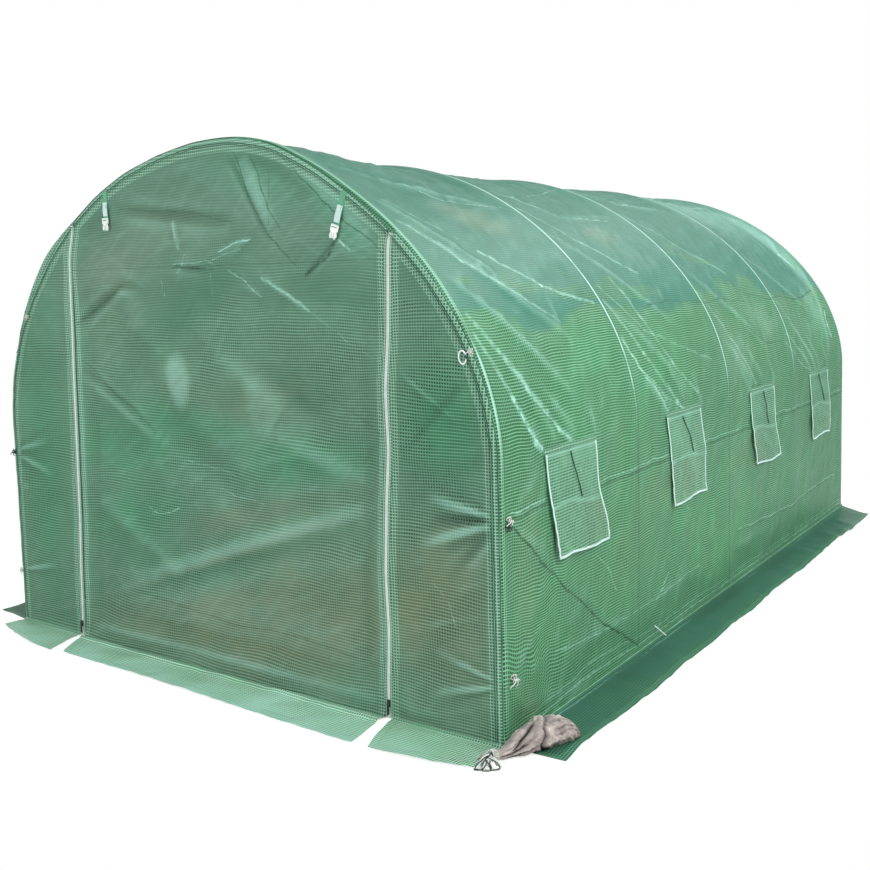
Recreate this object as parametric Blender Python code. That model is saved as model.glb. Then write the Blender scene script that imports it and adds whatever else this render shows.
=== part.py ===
"""Walk-in polytunnel, nominally 4 x 2.5 x 2 m.

Five tube hoops stand on the ground, tied lengthways by rails at the ground, at mid height and at
the ridge. A film cover lies over them and turns out into a skirt on the ground. The front is closed
by a door that rolls up between two zips, the back by a plain panel, and each bay has a netted
window with a flap on either side.

X is across the tunnel, Y runs along it from the door at -Y to the back at +Y, and Z is up. The
origin is on the ground at the middle of the skirt's outline.
"""

import math

import bmesh
import bpy
from mathutils import Matrix, Vector

# Overall sizes in metres, over the film
LENGTH = 4.0
WIDTH = 2.574
HEIGHT = 2.0
SPRING = 0.917
ARCH_POWER = 1.868
BAYS = 4
SKIRT = 0.2
FILM = 0.002
GAP = 0.0005

# Tubes of the frame
TUBE = 0.0125
TUBE_SIDES = 10
ARCH_STEPS = 32
END_INSET = 0.018
SIDE_RAIL_Z = 0.716
BASE_RAIL_Z = 0.05
RAIL_DROP = 0.0295
RAIL_END = 0.006
LEG_TOP = 0.76
SPIGOT = 0.06
SPIGOT_RADIUS = 0.0106
SOCKET_RADIUS = 0.0110
SOCKET_DEPTH = 0.064

# Clamps where a rail crosses a hoop
JAW_BORE = 0.0131
RIDGE_BORE = 0.0145
JAW_WALL = 0.0028
JAW_REACH = 0.005
JAW_LENGTH = 0.044
RAIL_JAW_LENGTH = 0.034
JAW_BEVEL = 0.003

# Braces with flattened ends, one in each corner bay of either side
BRACE_TOP_Z = 0.655
BRACE_FOOT_Z = 0.115
BRACE_FLAT = (0.015, 0.0022)
BRACE_MARGIN = 0.010
BRACE_FLAT_LENGTH = 0.045
BRACE_TAPER = 0.035

# Sag of the film between hoops
HAUNCH_SAG = 0.030
RIDGE_SAG = 0.022
BAY_STEPS = 4
MITRE_FRONT = 0.02
MITRE_BACK = 0.19

# Corners (x, y) of the front skirt pieces' outer edges, from left to right: the skirt lies open
# below each zip
SKIRT_LEFT = ((-1.282, -2.100), (-0.816, -2.196))
SKIRT_DOOR = ((-0.752, -2.200), (0.832, -2.200))
SKIRT_RIGHT = ((0.904, -2.196), (1.268, -2.156))

# Front: zips, door and gable head
ZIP_X = (-0.83, 0.85)
ZIP_REFERENCE_Z = 0.8
ZIP_LEAN = 0.035
TAPE_WIDTH = 0.030
TAPE = 0.0016
CHAIN_WIDTH = 0.009
CHAIN = 0.0036
DOOR_HEAD = 1.56
DOOR_FOOT = 0.004
DOOR_STEPS = (16, 14)
FOLD_DEPTH = 0.012
ZIP_FOOT = 0.004
SLIDER_Z = 0.042
SLIDER_SIZE = (0.013, 0.006, 0.024)
PULL_SIZE = (0.009, 0.0025, 0.040)

# Straps with half a buckle, that hold the rolled door
STRAP_TOP_X = (-0.548, 0.700)
STRAP_FOOT_X = (-0.546, 0.662)
STRAP_FOOT_Z = (1.762, 1.680)
STRAP_WIDTH = 0.025
STRAP = 0.0018
BUCKLE_LENGTH = 0.050
BUCKLE_WIDTH = 0.030
BUCKLE = 0.007

# Window flaps
FLAP_WIDTH = 0.36
FLAP_TOP = 0.90
FLAP_FOOT = 0.525
FLAP_LEAN = 0.07
FLAP_HEM = 0.018
FLAP_HEM_THICK = 0.0024
FLAP_FILM = 0.0012

# Ballast bag on the skirt at the front corner
BAG_NECK = Vector((1.312, -2.105, 0.030))
BAG_END = Vector((1.432, -1.800, 0.042))
BAG_HALF_WIDTH = 0.062
BAG_HALF_HEIGHT = 0.048
BAG_SIDES = 16
BAG_SWELL = {0.0: 0.42, 0.05: 0.36, 0.09: 0.25, 0.16: 0.25, 0.20: 0.48, 0.28: 0.74, 0.40: 0.94,
             0.55: 1.0, 0.70: 0.98, 0.84: 0.85, 0.94: 0.6, 1.0: 0.3}
BAG_CREASE = 0.08
TIE_START = 0.105
TIE_CORD = 0.0018
TIE_TURNS = 2.5
TIE_CLEAR = 0.0006

FRONT = -LENGTH / 2
BACK = LENGTH / 2
HALF = WIDTH / 2
RISE = HEIGHT - SPRING
FRAME_INSET = FILM + GAP + TUBE
HOOP_X = HALF - FRAME_INSET
HOOP_Y = [FRONT + END_INSET, *(FRONT + bay * LENGTH / BAYS for bay in range(1, BAYS)), BACK - END_INSET]
RAIL_X = HOOP_X - RAIL_DROP
SIDES = {"left": -1, "right": 1}
FACE = FRONT - GAP - FILM

FINISHES = {
    "galvanised_tube": ((0.62, 0.64, 0.65), 0.42, 0.9),
    "clamp_plastic": ((0.10, 0.12, 0.11), 0.5, 0.0),
    "cover_film": ((0.16, 0.42, 0.28), 0.38, 0.0),
    "gable_film": ((0.20, 0.38, 0.28), 0.4, 0.0),
    "flap_film": ((0.38, 0.62, 0.50), 0.45, 0.0),
    "zip_tape": ((0.86, 0.88, 0.86), 0.6, 0.0),
    "slider_metal": ((0.12, 0.12, 0.13), 0.4, 0.6),
    "webbing": ((0.10, 0.34, 0.22), 0.75, 0.0),
    "buckle_plastic": ((0.90, 0.91, 0.90), 0.4, 0.0),
    "bag_cloth": ((0.45, 0.39, 0.36), 0.9, 0.0),
    "tie_cord": ((0.88, 0.88, 0.86), 0.7, 0.0),
}


def clear_scene():
    for obj in list(bpy.data.objects):
        bpy.data.objects.remove(obj, do_unlink=True)


def material(name):
    """The named finish as a Principled material, made once."""
    found = bpy.data.materials.get(name)
    if found:
        return found
    colour, roughness, metallic = FINISHES[name]
    made = bpy.data.materials.new(name)
    made.use_nodes = True
    shader = made.node_tree.nodes["Principled BSDF"]
    shader.inputs["Base Color"].default_value = (*colour, 1.0)
    shader.inputs["Roughness"].default_value = roughness
    shader.inputs["Metallic"].default_value = metallic
    return made


def add_object(name, mesh, finish, origin=(0, 0, 0), smooth=True):
    """A node from a mesh whose points are in tunnel coordinates, with its origin at a given place."""
    origin = Vector(origin)
    if origin.length:
        mesh.transform(Matrix.Translation(-origin))
    if smooth:
        mesh.shade_smooth()
        mesh.set_sharp_from_angle(angle=math.radians(35))
    mesh.materials.clear()
    mesh.materials.append(material(finish))
    obj = bpy.data.objects.new(name, mesh)
    obj.location = origin
    bpy.context.scene.collection.objects.link(obj)
    return obj


def closed_mesh(name, points, faces):
    """A mesh from points and faces, with its doubles merged and its faces turned outwards."""
    mesh = bpy.data.meshes.new(name)
    work = bmesh.new()
    verts = [work.verts.new(point) for point in points]
    for face in faces:
        work.faces.new([verts[index] for index in face])
    bmesh.ops.remove_doubles(work, verts=work.verts, dist=1e-6)
    bmesh.ops.recalc_face_normals(work, faces=work.faces)
    work.to_mesh(mesh)
    work.free()
    return mesh


def sheet_mesh(name, outer, inner):
    """A sheet with a thickness, closed round its four edges, from two grids of the same size."""
    rows = len(outer)
    columns = len(outer[0])
    points = [point for grid in (outer, inner) for row in grid for point in row]

    def at(side, row, column):
        return side * rows * columns + row * columns + column

    faces = []
    for row in range(rows - 1):
        for column in range(columns - 1):
            for side in (0, 1):
                faces.append((at(side, row, column), at(side, row, column + 1),
                              at(side, row + 1, column + 1), at(side, row + 1, column)))
    for row in (0, rows - 1):
        for column in range(columns - 1):
            faces.append((at(0, row, column), at(0, row, column + 1),
                          at(1, row, column + 1), at(1, row, column)))
    for column in (0, columns - 1):
        for row in range(rows - 1):
            faces.append((at(0, row, column), at(0, row + 1, column),
                          at(1, row + 1, column), at(1, row, column)))
    return closed_mesh(name, points, faces)


def loft_mesh(name, rings):
    """A closed body through rings of the same number of points, with a flat face at either end."""
    count = len(rings[0])
    points = [point for ring in rings for point in ring]
    faces = [tuple(range(count)), tuple((len(rings) - 1) * count + index for index in range(count))]
    for start in range(0, (len(rings) - 1) * count, count):
        for index in range(count):
            after = (index + 1) % count
            faces.append((start + index, start + after, start + count + after, start + count + index))
    return closed_mesh(name, points, faces)


def ring(centre, first, second, sides=TUBE_SIDES):
    """Points round a centre, on an ellipse whose half axes are two vectors."""
    turns = [2 * math.pi * (index + 0.5) / sides for index in range(sides)]
    return [centre + first * math.cos(turn) + second * math.sin(turn) for turn in turns]


def box_mesh(name, low, high):
    work = bmesh.new()
    centre = [(a + b) / 2 for a, b in zip(low, high)]
    size = [b - a for a, b in zip(low, high)]
    place = Matrix.Translation(centre) @ Matrix.Diagonal((*size, 1))
    bmesh.ops.create_cube(work, size=1, matrix=place)
    mesh = bpy.data.meshes.new(name)
    work.to_mesh(mesh)
    work.free()
    return mesh


def combined(name, base, others):
    """The mesh of a base after Boolean joins and cuts: others is a list of (mesh, operation)."""
    holder = bpy.data.objects.new(name + "_blank", base)
    bpy.context.scene.collection.objects.link(holder)
    helpers = [holder]
    for index, (mesh, operation) in enumerate(others):
        helper = bpy.data.objects.new(f"{name}_tool_{index}", mesh)
        bpy.context.scene.collection.objects.link(helper)
        step = holder.modifiers.new(f"step_{index}", "BOOLEAN")
        step.operation = operation
        step.object = helper
        helpers.append(helper)
    bpy.context.view_layer.update()
    graph = bpy.context.evaluated_depsgraph_get()
    result = bpy.data.meshes.new_from_object(holder.evaluated_get(graph))
    result.name = name
    for helper in helpers:
        bpy.data.objects.remove(helper, do_unlink=True)
    return result


def cylinder_mesh(name, start, end, radius, sides):
    start, end = Vector(start), Vector(end)
    along = (end - start).normalized()
    across = Vector((0, 1, 0)) if abs(along.x) > 0.9 else Vector((1, 0, 0))
    up = along.cross(across)
    return loft_mesh(name, [ring(point, across * radius, up * radius, sides) for point in (start, end)])


def arch_outline(inset):
    """Points and outward directions (x, z) over the arch, from right to left.

    The arch over the film is a superellipse on straight walls, with its points evenly spaced. inset
    moves each of them inwards, so that the facets of film and tubes lie parallel.
    """
    fine = 1200
    raw = []
    for index in range(fine + 1):
        turn = math.pi * index / fine
        cosine, sine = math.cos(turn), max(math.sin(turn), 0.0)
        x = math.copysign(abs(cosine) ** (2 / ARCH_POWER), cosine) * HALF
        raw.append(Vector((x, SPRING + sine ** (2 / ARCH_POWER) * RISE)))
    lengths = [0.0]
    for before, after in zip(raw, raw[1:]):
        lengths.append(lengths[-1] + (after - before).length)
    result = []
    at = 0
    for step in range(ARCH_STEPS + 1):
        wanted = lengths[-1] * step / ARCH_STEPS
        while at < fine - 1 and lengths[at + 1] < wanted:
            at += 1
        share = (wanted - lengths[at]) / (lengths[at + 1] - lengths[at])
        place = raw[at].lerp(raw[at + 1], share)
        along = raw[min(at + 2, fine)] - raw[max(at - 1, 0)]
        outward = Vector((along.y, -along.x)).normalized()
        if step in (0, ARCH_STEPS):
            outward = Vector((math.copysign(1.0, place.x), 0.0))
        result.append((place - outward * inset, outward))
    return result


def outline_x(z):
    """Half the width over the film at a height."""
    if z <= SPRING:
        return HALF
    return HALF * max(0.0, 1 - ((z - SPRING) / RISE) ** ARCH_POWER) ** (1 / ARCH_POWER)


def outline_z(x):
    """Height of the arch over the film at a distance from the middle."""
    return SPRING + RISE * max(0.0, 1 - (abs(x) / HALF) ** ARCH_POWER) ** (1 / ARCH_POWER)


def zip_x(side, z):
    """Middle line of a zip. Both lean a little, as the slack film hangs."""
    return ZIP_X[side] + ZIP_LEAN * (z - ZIP_REFERENCE_Z)


def zip_top(side):
    """Height at which a zip meets the arch, found by closing in on it."""
    z = outline_z(ZIP_X[side])
    for _ in range(20):
        z = outline_z(zip_x(side, z))
    return z


def build_leg(name, x, y):
    """A straight leg, swaged at its top to slide into the arch."""
    across, along = Vector((1, 0, 0)), Vector((0, 1, 0))
    neck = LEG_TOP + 0.008
    sections = [(0.0, TUBE), (LEG_TOP, TUBE), (neck, SPIGOT_RADIUS), (LEG_TOP + SPIGOT, SPIGOT_RADIUS)]
    rings = [ring(Vector((x, y, z)), across * radius, along * radius) for z, radius in sections]
    add_object(name, loft_mesh(name, rings), "galvanised_tube")


def build_arch(name, y):
    """The bent tube of a hoop, with a socket in either end for the leg's spigot."""
    lateral = Vector((0, 1, 0))
    foot = LEG_TOP + 0.0085
    path = [(Vector((HOOP_X, foot)), Vector((1, 0)))]
    path += arch_outline(FRAME_INSET)
    path.append((Vector((-HOOP_X, foot)), Vector((-1, 0))))
    rings = []
    for place, outward in path:
        out = Vector((outward.x, 0, outward.y))
        rings.append(ring(Vector((place.x, y, place.y)), out * TUBE, lateral * TUBE))
    tube = loft_mesh(name, rings)
    sockets = []
    for sign in (1, -1):
        start = (sign * HOOP_X, y, foot - 0.01)
        end = (sign * HOOP_X, y, foot + SOCKET_DEPTH)
        bore = cylinder_mesh(f"{name}_socket_{sign}", start, end, SOCKET_RADIUS, TUBE_SIDES)
        sockets.append((bore, "DIFFERENCE"))
    add_object(name, combined(name, tube, sockets), "galvanised_tube")


def clamp_blank(name, with_rail_bore, bore=JAW_BORE):
    """A clamp that snaps on a hoop along Z at the origin and on a rail along Y, further along X."""
    half = bore + JAW_WALL
    middle = RAIL_DROP / 2
    overlap = 0.0015
    hoop_jaw = box_mesh(name + "_hoop_jaw", (-JAW_REACH, -half, -JAW_LENGTH / 2),
                        (middle + overlap, half, JAW_LENGTH / 2))
    rail_jaw = box_mesh(name + "_rail_jaw", (middle - overlap, -RAIL_JAW_LENGTH / 2, -half),
                        (RAIL_DROP + JAW_REACH, RAIL_JAW_LENGTH / 2, half))
    for mesh in (hoop_jaw, rail_jaw):
        work = bmesh.new()
        work.from_mesh(mesh)
        along = 2 if mesh is hoop_jaw else 1
        corners = [edge for edge in work.edges
                   if abs((edge.verts[0].co - edge.verts[1].co)[along]) > RAIL_JAW_LENGTH / 2]
        bmesh.ops.bevel(work, geom=corners, offset=JAW_BEVEL, segments=1, affect="EDGES")
        work.to_mesh(mesh)
        work.free()
    reach = JAW_LENGTH
    steps = [(rail_jaw, "UNION"),
             (cylinder_mesh(name + "_hoop", (0, 0, -reach), (0, 0, reach), bore, TUBE_SIDES),
              "DIFFERENCE")]
    if with_rail_bore:
        rail = cylinder_mesh(name + "_rail", (RAIL_DROP, -reach, 0), (RAIL_DROP, reach, 0),
                             JAW_BORE, TUBE_SIDES)
        steps.append((rail, "DIFFERENCE"))
    return combined(name, hoop_jaw, steps)


def clamp_turn(side):
    """Turns a clamp's rail side towards the inside of the tunnel."""
    return Matrix.Rotation(math.pi if side > 0 else 0.0, 4, "Z")


def build_side_clamps():
    shared = clamp_blank("side_clamp", True)
    for label, side in SIDES.items():
        for number, y in enumerate(HOOP_Y, start=1):
            obj = add_object(f"side_clamp_{label}_{number}", shared, "clamp_plastic", smooth=False)
            obj.location = (side * HOOP_X, y, SIDE_RAIL_Z)
            obj.rotation_euler = clamp_turn(side).to_euler()


def build_plain_rail(name, x, z):
    ends = (FRONT + RAIL_END, BACK - RAIL_END)
    rings = [ring(Vector((x, y, z)), Vector((TUBE, 0, 0)), Vector((0, 0, TUBE))) for y in ends]
    add_object(name, loft_mesh(name, rings), "galvanised_tube")


def build_clamped_rail(name, hoop_at, turn, bore=JAW_BORE):
    """A rail with the saddles that hold it to each hoop, as one piece."""
    centre = Vector(hoop_at) + turn.to_3x3() @ Vector((RAIL_DROP, 0, 0))
    ends = [Vector((centre.x, y, centre.z)) for y in (FRONT + RAIL_END, BACK - RAIL_END)]
    rail = loft_mesh(name, [ring(end, Vector((TUBE, 0, 0)), Vector((0, 0, TUBE))) for end in ends])
    blank = clamp_blank(name + "_saddle", False, bore)
    steps = []
    for y in HOOP_Y:
        saddle = blank.copy()
        saddle.transform(Matrix.Translation((hoop_at[0], y, hoop_at[2])) @ turn)
        steps.append((saddle, "UNION"))
    add_object(name, combined(name, rail, steps), "galvanised_tube")


def build_rails():
    for label, side in SIDES.items():
        build_plain_rail(f"side_rail_{label}", side * RAIL_X, SIDE_RAIL_Z)
        build_clamped_rail(f"base_rail_{label}", (side * HOOP_X, 0, BASE_RAIL_Z), clamp_turn(side))
    over = Matrix.Rotation(math.pi / 2, 4, "Y")
    build_clamped_rail("ridge_rail", (0, 0, HEIGHT - FRAME_INSET), over, RIDGE_BORE)


def build_brace(name, side, top_y, foot_y):
    """A tube flattened at both ends, from a hoop's mid height to the next hoop's foot."""
    inner = HOOP_X - TUBE - GAP
    start = Vector((0, top_y, BRACE_TOP_Z))
    end = Vector((0, foot_y, BRACE_FOOT_Z))
    along = (end - start).normalized()
    lateral = along.cross(Vector((1, 0, 0)))
    start -= along * BRACE_MARGIN
    end += along * BRACE_MARGIN
    length = (end - start).length
    flat_end = BRACE_FLAT_LENGTH + BRACE_TAPER
    stations = [(0.0, True), (BRACE_FLAT_LENGTH, True), (flat_end, False),
                (length - flat_end, False), (length - BRACE_FLAT_LENGTH, True), (length, True)]
    rings = []
    for distance, flat in stations:
        wide, thick = BRACE_FLAT if flat else (TUBE, TUBE)
        centre = start + along * distance
        centre.x = side * (inner - thick)
        rings.append(ring(centre, lateral * wide, Vector((thick, 0, 0))))
    add_object(name, loft_mesh(name, rings), "galvanised_tube")


def build_frame():
    for number, y in enumerate(HOOP_Y, start=1):
        build_arch(f"arch_{number}", y)
        for label, side in SIDES.items():
            build_leg(f"leg_{label}_{number}", side * HOOP_X, y)
    build_side_clamps()
    build_rails()
    for label, side in SIDES.items():
        build_brace(f"brace_front_{label}", side, HOOP_Y[0], HOOP_Y[1])
        build_brace(f"brace_back_{label}", side, HOOP_Y[-1], HOOP_Y[-2])


def cover_stations():
    """Stations along the tunnel as (y, sag share): 0 on a hoop, 1 halfway between two."""
    stations = [(FRONT, 0.0)]
    for start, end in zip(HOOP_Y, HOOP_Y[1:]):
        for step in range(BAY_STEPS):
            share = step / BAY_STEPS
            stations.append((start + (end - start) * share, 4 * share * (1 - share)))
    return stations + [(HOOP_Y[-1], 0.0), (BACK, 0.0)]


def build_cover():
    """Roof, walls and side skirts in one sheet, sagging between the hoops."""
    arch = arch_outline(0.0)
    right = [("edge", Vector((HALF + SKIRT, FILM)), Vector((HALF + SKIRT, 0.0)), 0.0),
             ("foot", Vector((HALF, FILM)), Vector((HALF - FILM, 0.0)), 0.0),
             ("wall", Vector((HALF, SPRING / 2)), Vector((HALF - FILM, SPRING / 2)), 0.0)]
    section = list(right)
    for index, (place, outward) in enumerate(arch):
        rise = 1 - abs(2 * index / ARCH_STEPS - 1)
        sag = HAUNCH_SAG * math.sin(math.pi * rise) + RIDGE_SAG * rise * rise
        section.append(("arch", place, place - outward * FILM, outward * sag))
    for kind, outer, inner, sag in reversed(right):
        section.append((kind, Vector((-outer.x, outer.y)), Vector((-inner.x, inner.y)), sag))
    outer_grid, inner_grid = [], []
    for y, share in cover_stations():
        outer_row, inner_row = [], []
        for kind, outer, inner, sag in section:
            at_y = y
            if kind == "edge":
                at_y = FRONT + MITRE_FRONT + (y - FRONT) / LENGTH * (LENGTH - MITRE_FRONT - MITRE_BACK)
            drop = sag * share if kind == "arch" else Vector((0.0, 0.0))
            outer_row.append(Vector((outer.x - drop.x, at_y, outer.y - drop.y)))
            inner_row.append(Vector((inner.x - drop.x, at_y, inner.y - drop.y)))
        outer_grid.append(outer_row)
        inner_grid.append(inner_row)
    add_object("cover_sheet", sheet_mesh("cover_sheet", outer_grid, inner_grid), "cover_film")


def panel_heights(low, high, steps=12):
    """Heights from low to high, closer together towards the top, with one at the wall's top."""
    rise = [low, SPRING / 2, SPRING]
    return rise + [SPRING + (high - SPRING) * math.sin(math.pi / 2 * step / steps)
                   for step in range(1, steps + 1)]


def panel_grids(heights, left_bound, right_bound, columns, skirt_ends, face, outward):
    """Two grids for an upright panel with a skirt at its foot.

    left_bound and right_bound give x at a height. skirt_ends are the (x, y) corners of the skirt's
    outer edge. face is the y of the outer side, and outward is -1 at the front and 1 at the back.
    """
    def row(left, right, z):
        start, end = Vector((*left, z)), Vector((*right, z))
        return [start.lerp(end, step / columns) for step in range(columns + 1)]

    inner_face = face - outward * FILM
    outer, inner = [row(*skirt_ends, FILM)], [row(*skirt_ends, 0.0)]
    for grid, y, foot_z in ((outer, face, FILM), (inner, inner_face, 0.0)):
        grid.append(row((left_bound(0.0), y), (right_bound(0.0), y), foot_z))
        for z in heights:
            grid.append(row((left_bound(z), y), (right_bound(z), y), z))
    return outer, inner


def build_back_panel():
    heights = panel_heights(0.02, HEIGHT - 0.002)
    mitre, edge_y = HALF - MITRE_BACK, BACK + SKIRT
    grids = panel_grids(heights, lambda z: -outline_x(z), outline_x, 10,
                        ((-mitre, edge_y), (mitre, edge_y)), -FACE, 1)
    add_object("back_panel", sheet_mesh("back_panel", *grids), "gable_film")


def build_front_panels():
    """The two fixed strips beside the door, each between the arch and a zip."""
    edge = TAPE_WIDTH / 2 + GAP
    tips = [zip_top(side) for side in (0, 1)]
    left = panel_grids(panel_heights(0.02, tips[0] - 0.012), lambda z: -outline_x(z),
                       lambda z: zip_x(0, z) - edge, 3, SKIRT_LEFT, FACE, -1)
    add_object("front_panel_left", sheet_mesh("front_panel_left", *left), "gable_film")
    right = panel_grids(panel_heights(0.02, tips[1] - 0.012), lambda z: zip_x(1, z) + edge,
                        outline_x, 3, SKIRT_RIGHT, FACE, -1)
    add_object("front_panel_right", sheet_mesh("front_panel_right", *right), "gable_film")


def build_gable_head():
    """The fixed film over the door, from the zips up to the arch."""
    edge = TAPE_WIDTH / 2 + GAP
    heights = [DOOR_HEAD + GAP, *panel_heights(0, HEIGHT - 0.001, 14)[3:]]
    heights = [z for z in heights if z >= DOOR_HEAD]
    outer, inner = [], []
    for z in heights:
        low = max(-outline_x(z), zip_x(0, z) + edge)
        high = min(outline_x(z), zip_x(1, z) - edge)
        row = [low + (high - low) * step / 8 for step in range(9)]
        outer.append([Vector((x, FACE, z)) for x in row])
        inner.append([Vector((x, FACE + FILM, z)) for x in row])
    add_object("gable_head", sheet_mesh("gable_head", outer, inner), "gable_film")


def door_fold(across, up):
    """How far the slack door stands out, from its share of the way across and up."""
    window = math.sin(math.pi * across) * math.sin(math.pi * up)
    first = math.sin(2 * math.pi * (1.1 * across + 0.9 * up))
    second = 0.5 * math.sin(2 * math.pi * (2.3 * across - 0.8 * up))
    return FOLD_DEPTH * window * (first + second)


def build_door():
    """The roll-up door between the zips, with its main diagonal folds."""
    edge = TAPE_WIDTH / 2 + GAP
    columns, rows = DOOR_STEPS
    outer, inner = [], []
    for row in range(rows + 1):
        up = row / rows
        z = DOOR_FOOT + (DOOR_HEAD - DOOR_FOOT) * up
        low, high = zip_x(0, z) + edge, zip_x(1, z) - edge
        outer_row, inner_row = [], []
        for column in range(columns + 1):
            across = column / columns
            x = low + (high - low) * across
            y = FACE - door_fold(across, up)
            outer_row.append(Vector((x, y, z)))
            inner_row.append(Vector((x, y + FILM, z)))
        outer.append(outer_row)
        inner.append(inner_row)
    add_object("door_panel", sheet_mesh("door_panel", outer, inner), "gable_film")


def build_door_apron():
    """The door's own stretch of skirt, which turns on the door's hem."""
    edge = TAPE_WIDTH / 2 + GAP
    hinge_y = FACE - 0.0015
    low, high = zip_x(0, 0) + edge + 0.002, zip_x(1, 0) - edge - 0.002
    edges = [((low, hinge_y), (high, hinge_y)), SKIRT_DOOR]
    grids = [[[Vector((*start, z)).lerp(Vector((*end, z)), step / 8) for step in range(9)]
              for start, end in edges] for z in (FILM, 0.0)]
    add_object("door_apron", sheet_mesh("door_apron", *grids), "gable_film",
               origin=(0, hinge_y, DOOR_FOOT - 0.001))


def zip_section():
    """Outline of a zip across its length: (across, out), a flat tape with a raised chain."""
    tape, chain = TAPE_WIDTH / 2, CHAIN_WIDTH / 2
    return [(-tape, 0.0), (tape, 0.0), (tape, TAPE), (chain, TAPE), (chain * 0.8, CHAIN),
            (-chain * 0.8, CHAIN), (-chain, TAPE), (-tape, TAPE)]


def build_zip(name, side):
    """A zip up the front, from the ground to the arch."""
    inner = FACE + FILM - GAP
    rings = []
    for z in (zip_top(side) - 0.022, DOOR_HEAD, ZIP_FOOT):
        rings.append([Vector((zip_x(side, z) + across, inner - out, z)) for across, out in zip_section()])
    add_object(name, loft_mesh(name, rings), "zip_tape", smooth=False)


def build_zip_slider(name, side):
    """A slider in front of its chain, with a pull that hangs down."""
    x = zip_x(side, SLIDER_Z)
    front = FACE + FILM - GAP - CHAIN - 0.0004
    wide, deep, tall = SLIDER_SIZE
    body = box_mesh(name, (x - wide / 2, front - deep, SLIDER_Z), (x + wide / 2, front, SLIDER_Z + tall))
    work = bmesh.new()
    work.from_mesh(body)
    uprights = [edge for edge in work.edges
                if abs((edge.verts[0].co - edge.verts[1].co).z) > tall / 2]
    bmesh.ops.bevel(work, geom=uprights, offset=0.002, segments=2, affect="EDGES")
    work.to_mesh(body)
    work.free()
    pull_wide, pull_deep, pull_tall = PULL_SIZE
    pull_top = SLIDER_Z + tall * 0.55
    pull_front = front - deep - pull_deep + 0.0008
    pull = box_mesh(name + "_pull", (x - pull_wide / 2, pull_front, pull_top - pull_tall),
                    (x + pull_wide / 2, pull_front + pull_deep, pull_top))
    hole_z = pull_top - pull_tall + 0.007
    hole = cylinder_mesh(name + "_hole", (x, pull_front - 0.01, hole_z),
                         (x, pull_front + pull_deep + 0.0005, hole_z), 0.0018, 8)
    mesh = combined(name, body, [(pull, "UNION"), (hole, "DIFFERENCE")])
    add_object(name, mesh, "slider_metal", origin=(x, front, SLIDER_Z), smooth=False)


def build_strap(label, side):
    """A webbing strap that hangs from the arch's edge, with half a side-release buckle on it."""
    x_top, x_foot, z_foot = STRAP_TOP_X[side], STRAP_FOOT_X[side], STRAP_FOOT_Z[side]
    z_top = outline_z(x_top) - 0.006
    back = FACE - GAP
    top = Vector((x_top, back, z_top))
    down = (Vector((x_foot, back, z_foot)) - top)
    length = down.length
    down.normalize()
    across = Vector((-down.z, 0, down.x))
    hinge = top + Vector((0, -STRAP, 0))
    strap_end = length + 0.016
    stations = [0.001, length * 0.4, length, strap_end]
    rings = []
    for number, distance in enumerate(stations):
        middle = top + down * distance
        level = number == 0
        points = []
        for side_way, depth in ((-1, 0), (1, 0), (1, STRAP), (-1, STRAP)):
            point = middle + across * (STRAP_WIDTH / 2 * side_way) + Vector((0, -depth, 0))
            if level:
                point += down * ((middle.z - point.z) / down.z)
            points.append(point)
        rings.append(points)
    name = f"strap_{label}"
    add_object(name, loft_mesh(name, rings), "webbing", origin=hinge, smooth=False)
    build_buckle(f"buckle_{label}", top + down * length, down, across, hinge)


def build_buckle(name, top, down, across, hinge):
    """Half of a side-release buckle: a slotted bar, a shoulder, two sprung prongs and a guide."""
    half = BUCKLE_WIDTH / 2
    depth = STRAP + GAP
    outline = [(-half, 0.0), (-half, 0.022), (-half * 0.72, 0.024), (-half * 0.86, 0.034),
               (-half * 0.95, 0.040), (-half * 0.60, BUCKLE_LENGTH), (-half * 0.42, 0.047),
               (-half * 0.44, 0.028), (-half * 0.20, 0.028), (-half * 0.17, 0.046)]
    outline += [(-x, y) for x, y in reversed(outline)]
    rings = []
    for out in (depth, depth + BUCKLE):
        rings.append([top + across * x + down * y + Vector((0, -out, 0)) for x, y in outline])
    body = loft_mesh(name, rings)
    slot_half = STRAP_WIDTH / 2 + 0.0006
    slot = []
    for out in (depth - 0.002, depth + BUCKLE + 0.002):
        corners = [(-slot_half, 0.007), (slot_half, 0.007), (slot_half, 0.0102), (-slot_half, 0.0102)]
        slot.append([top + across * x + down * y + Vector((0, -out, 0)) for x, y in corners])
    mesh = combined(name, body, [(loft_mesh(name + "_slot", slot), "DIFFERENCE")])
    add_object(name, mesh, "buckle_plastic", origin=hinge, smooth=False)


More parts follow.
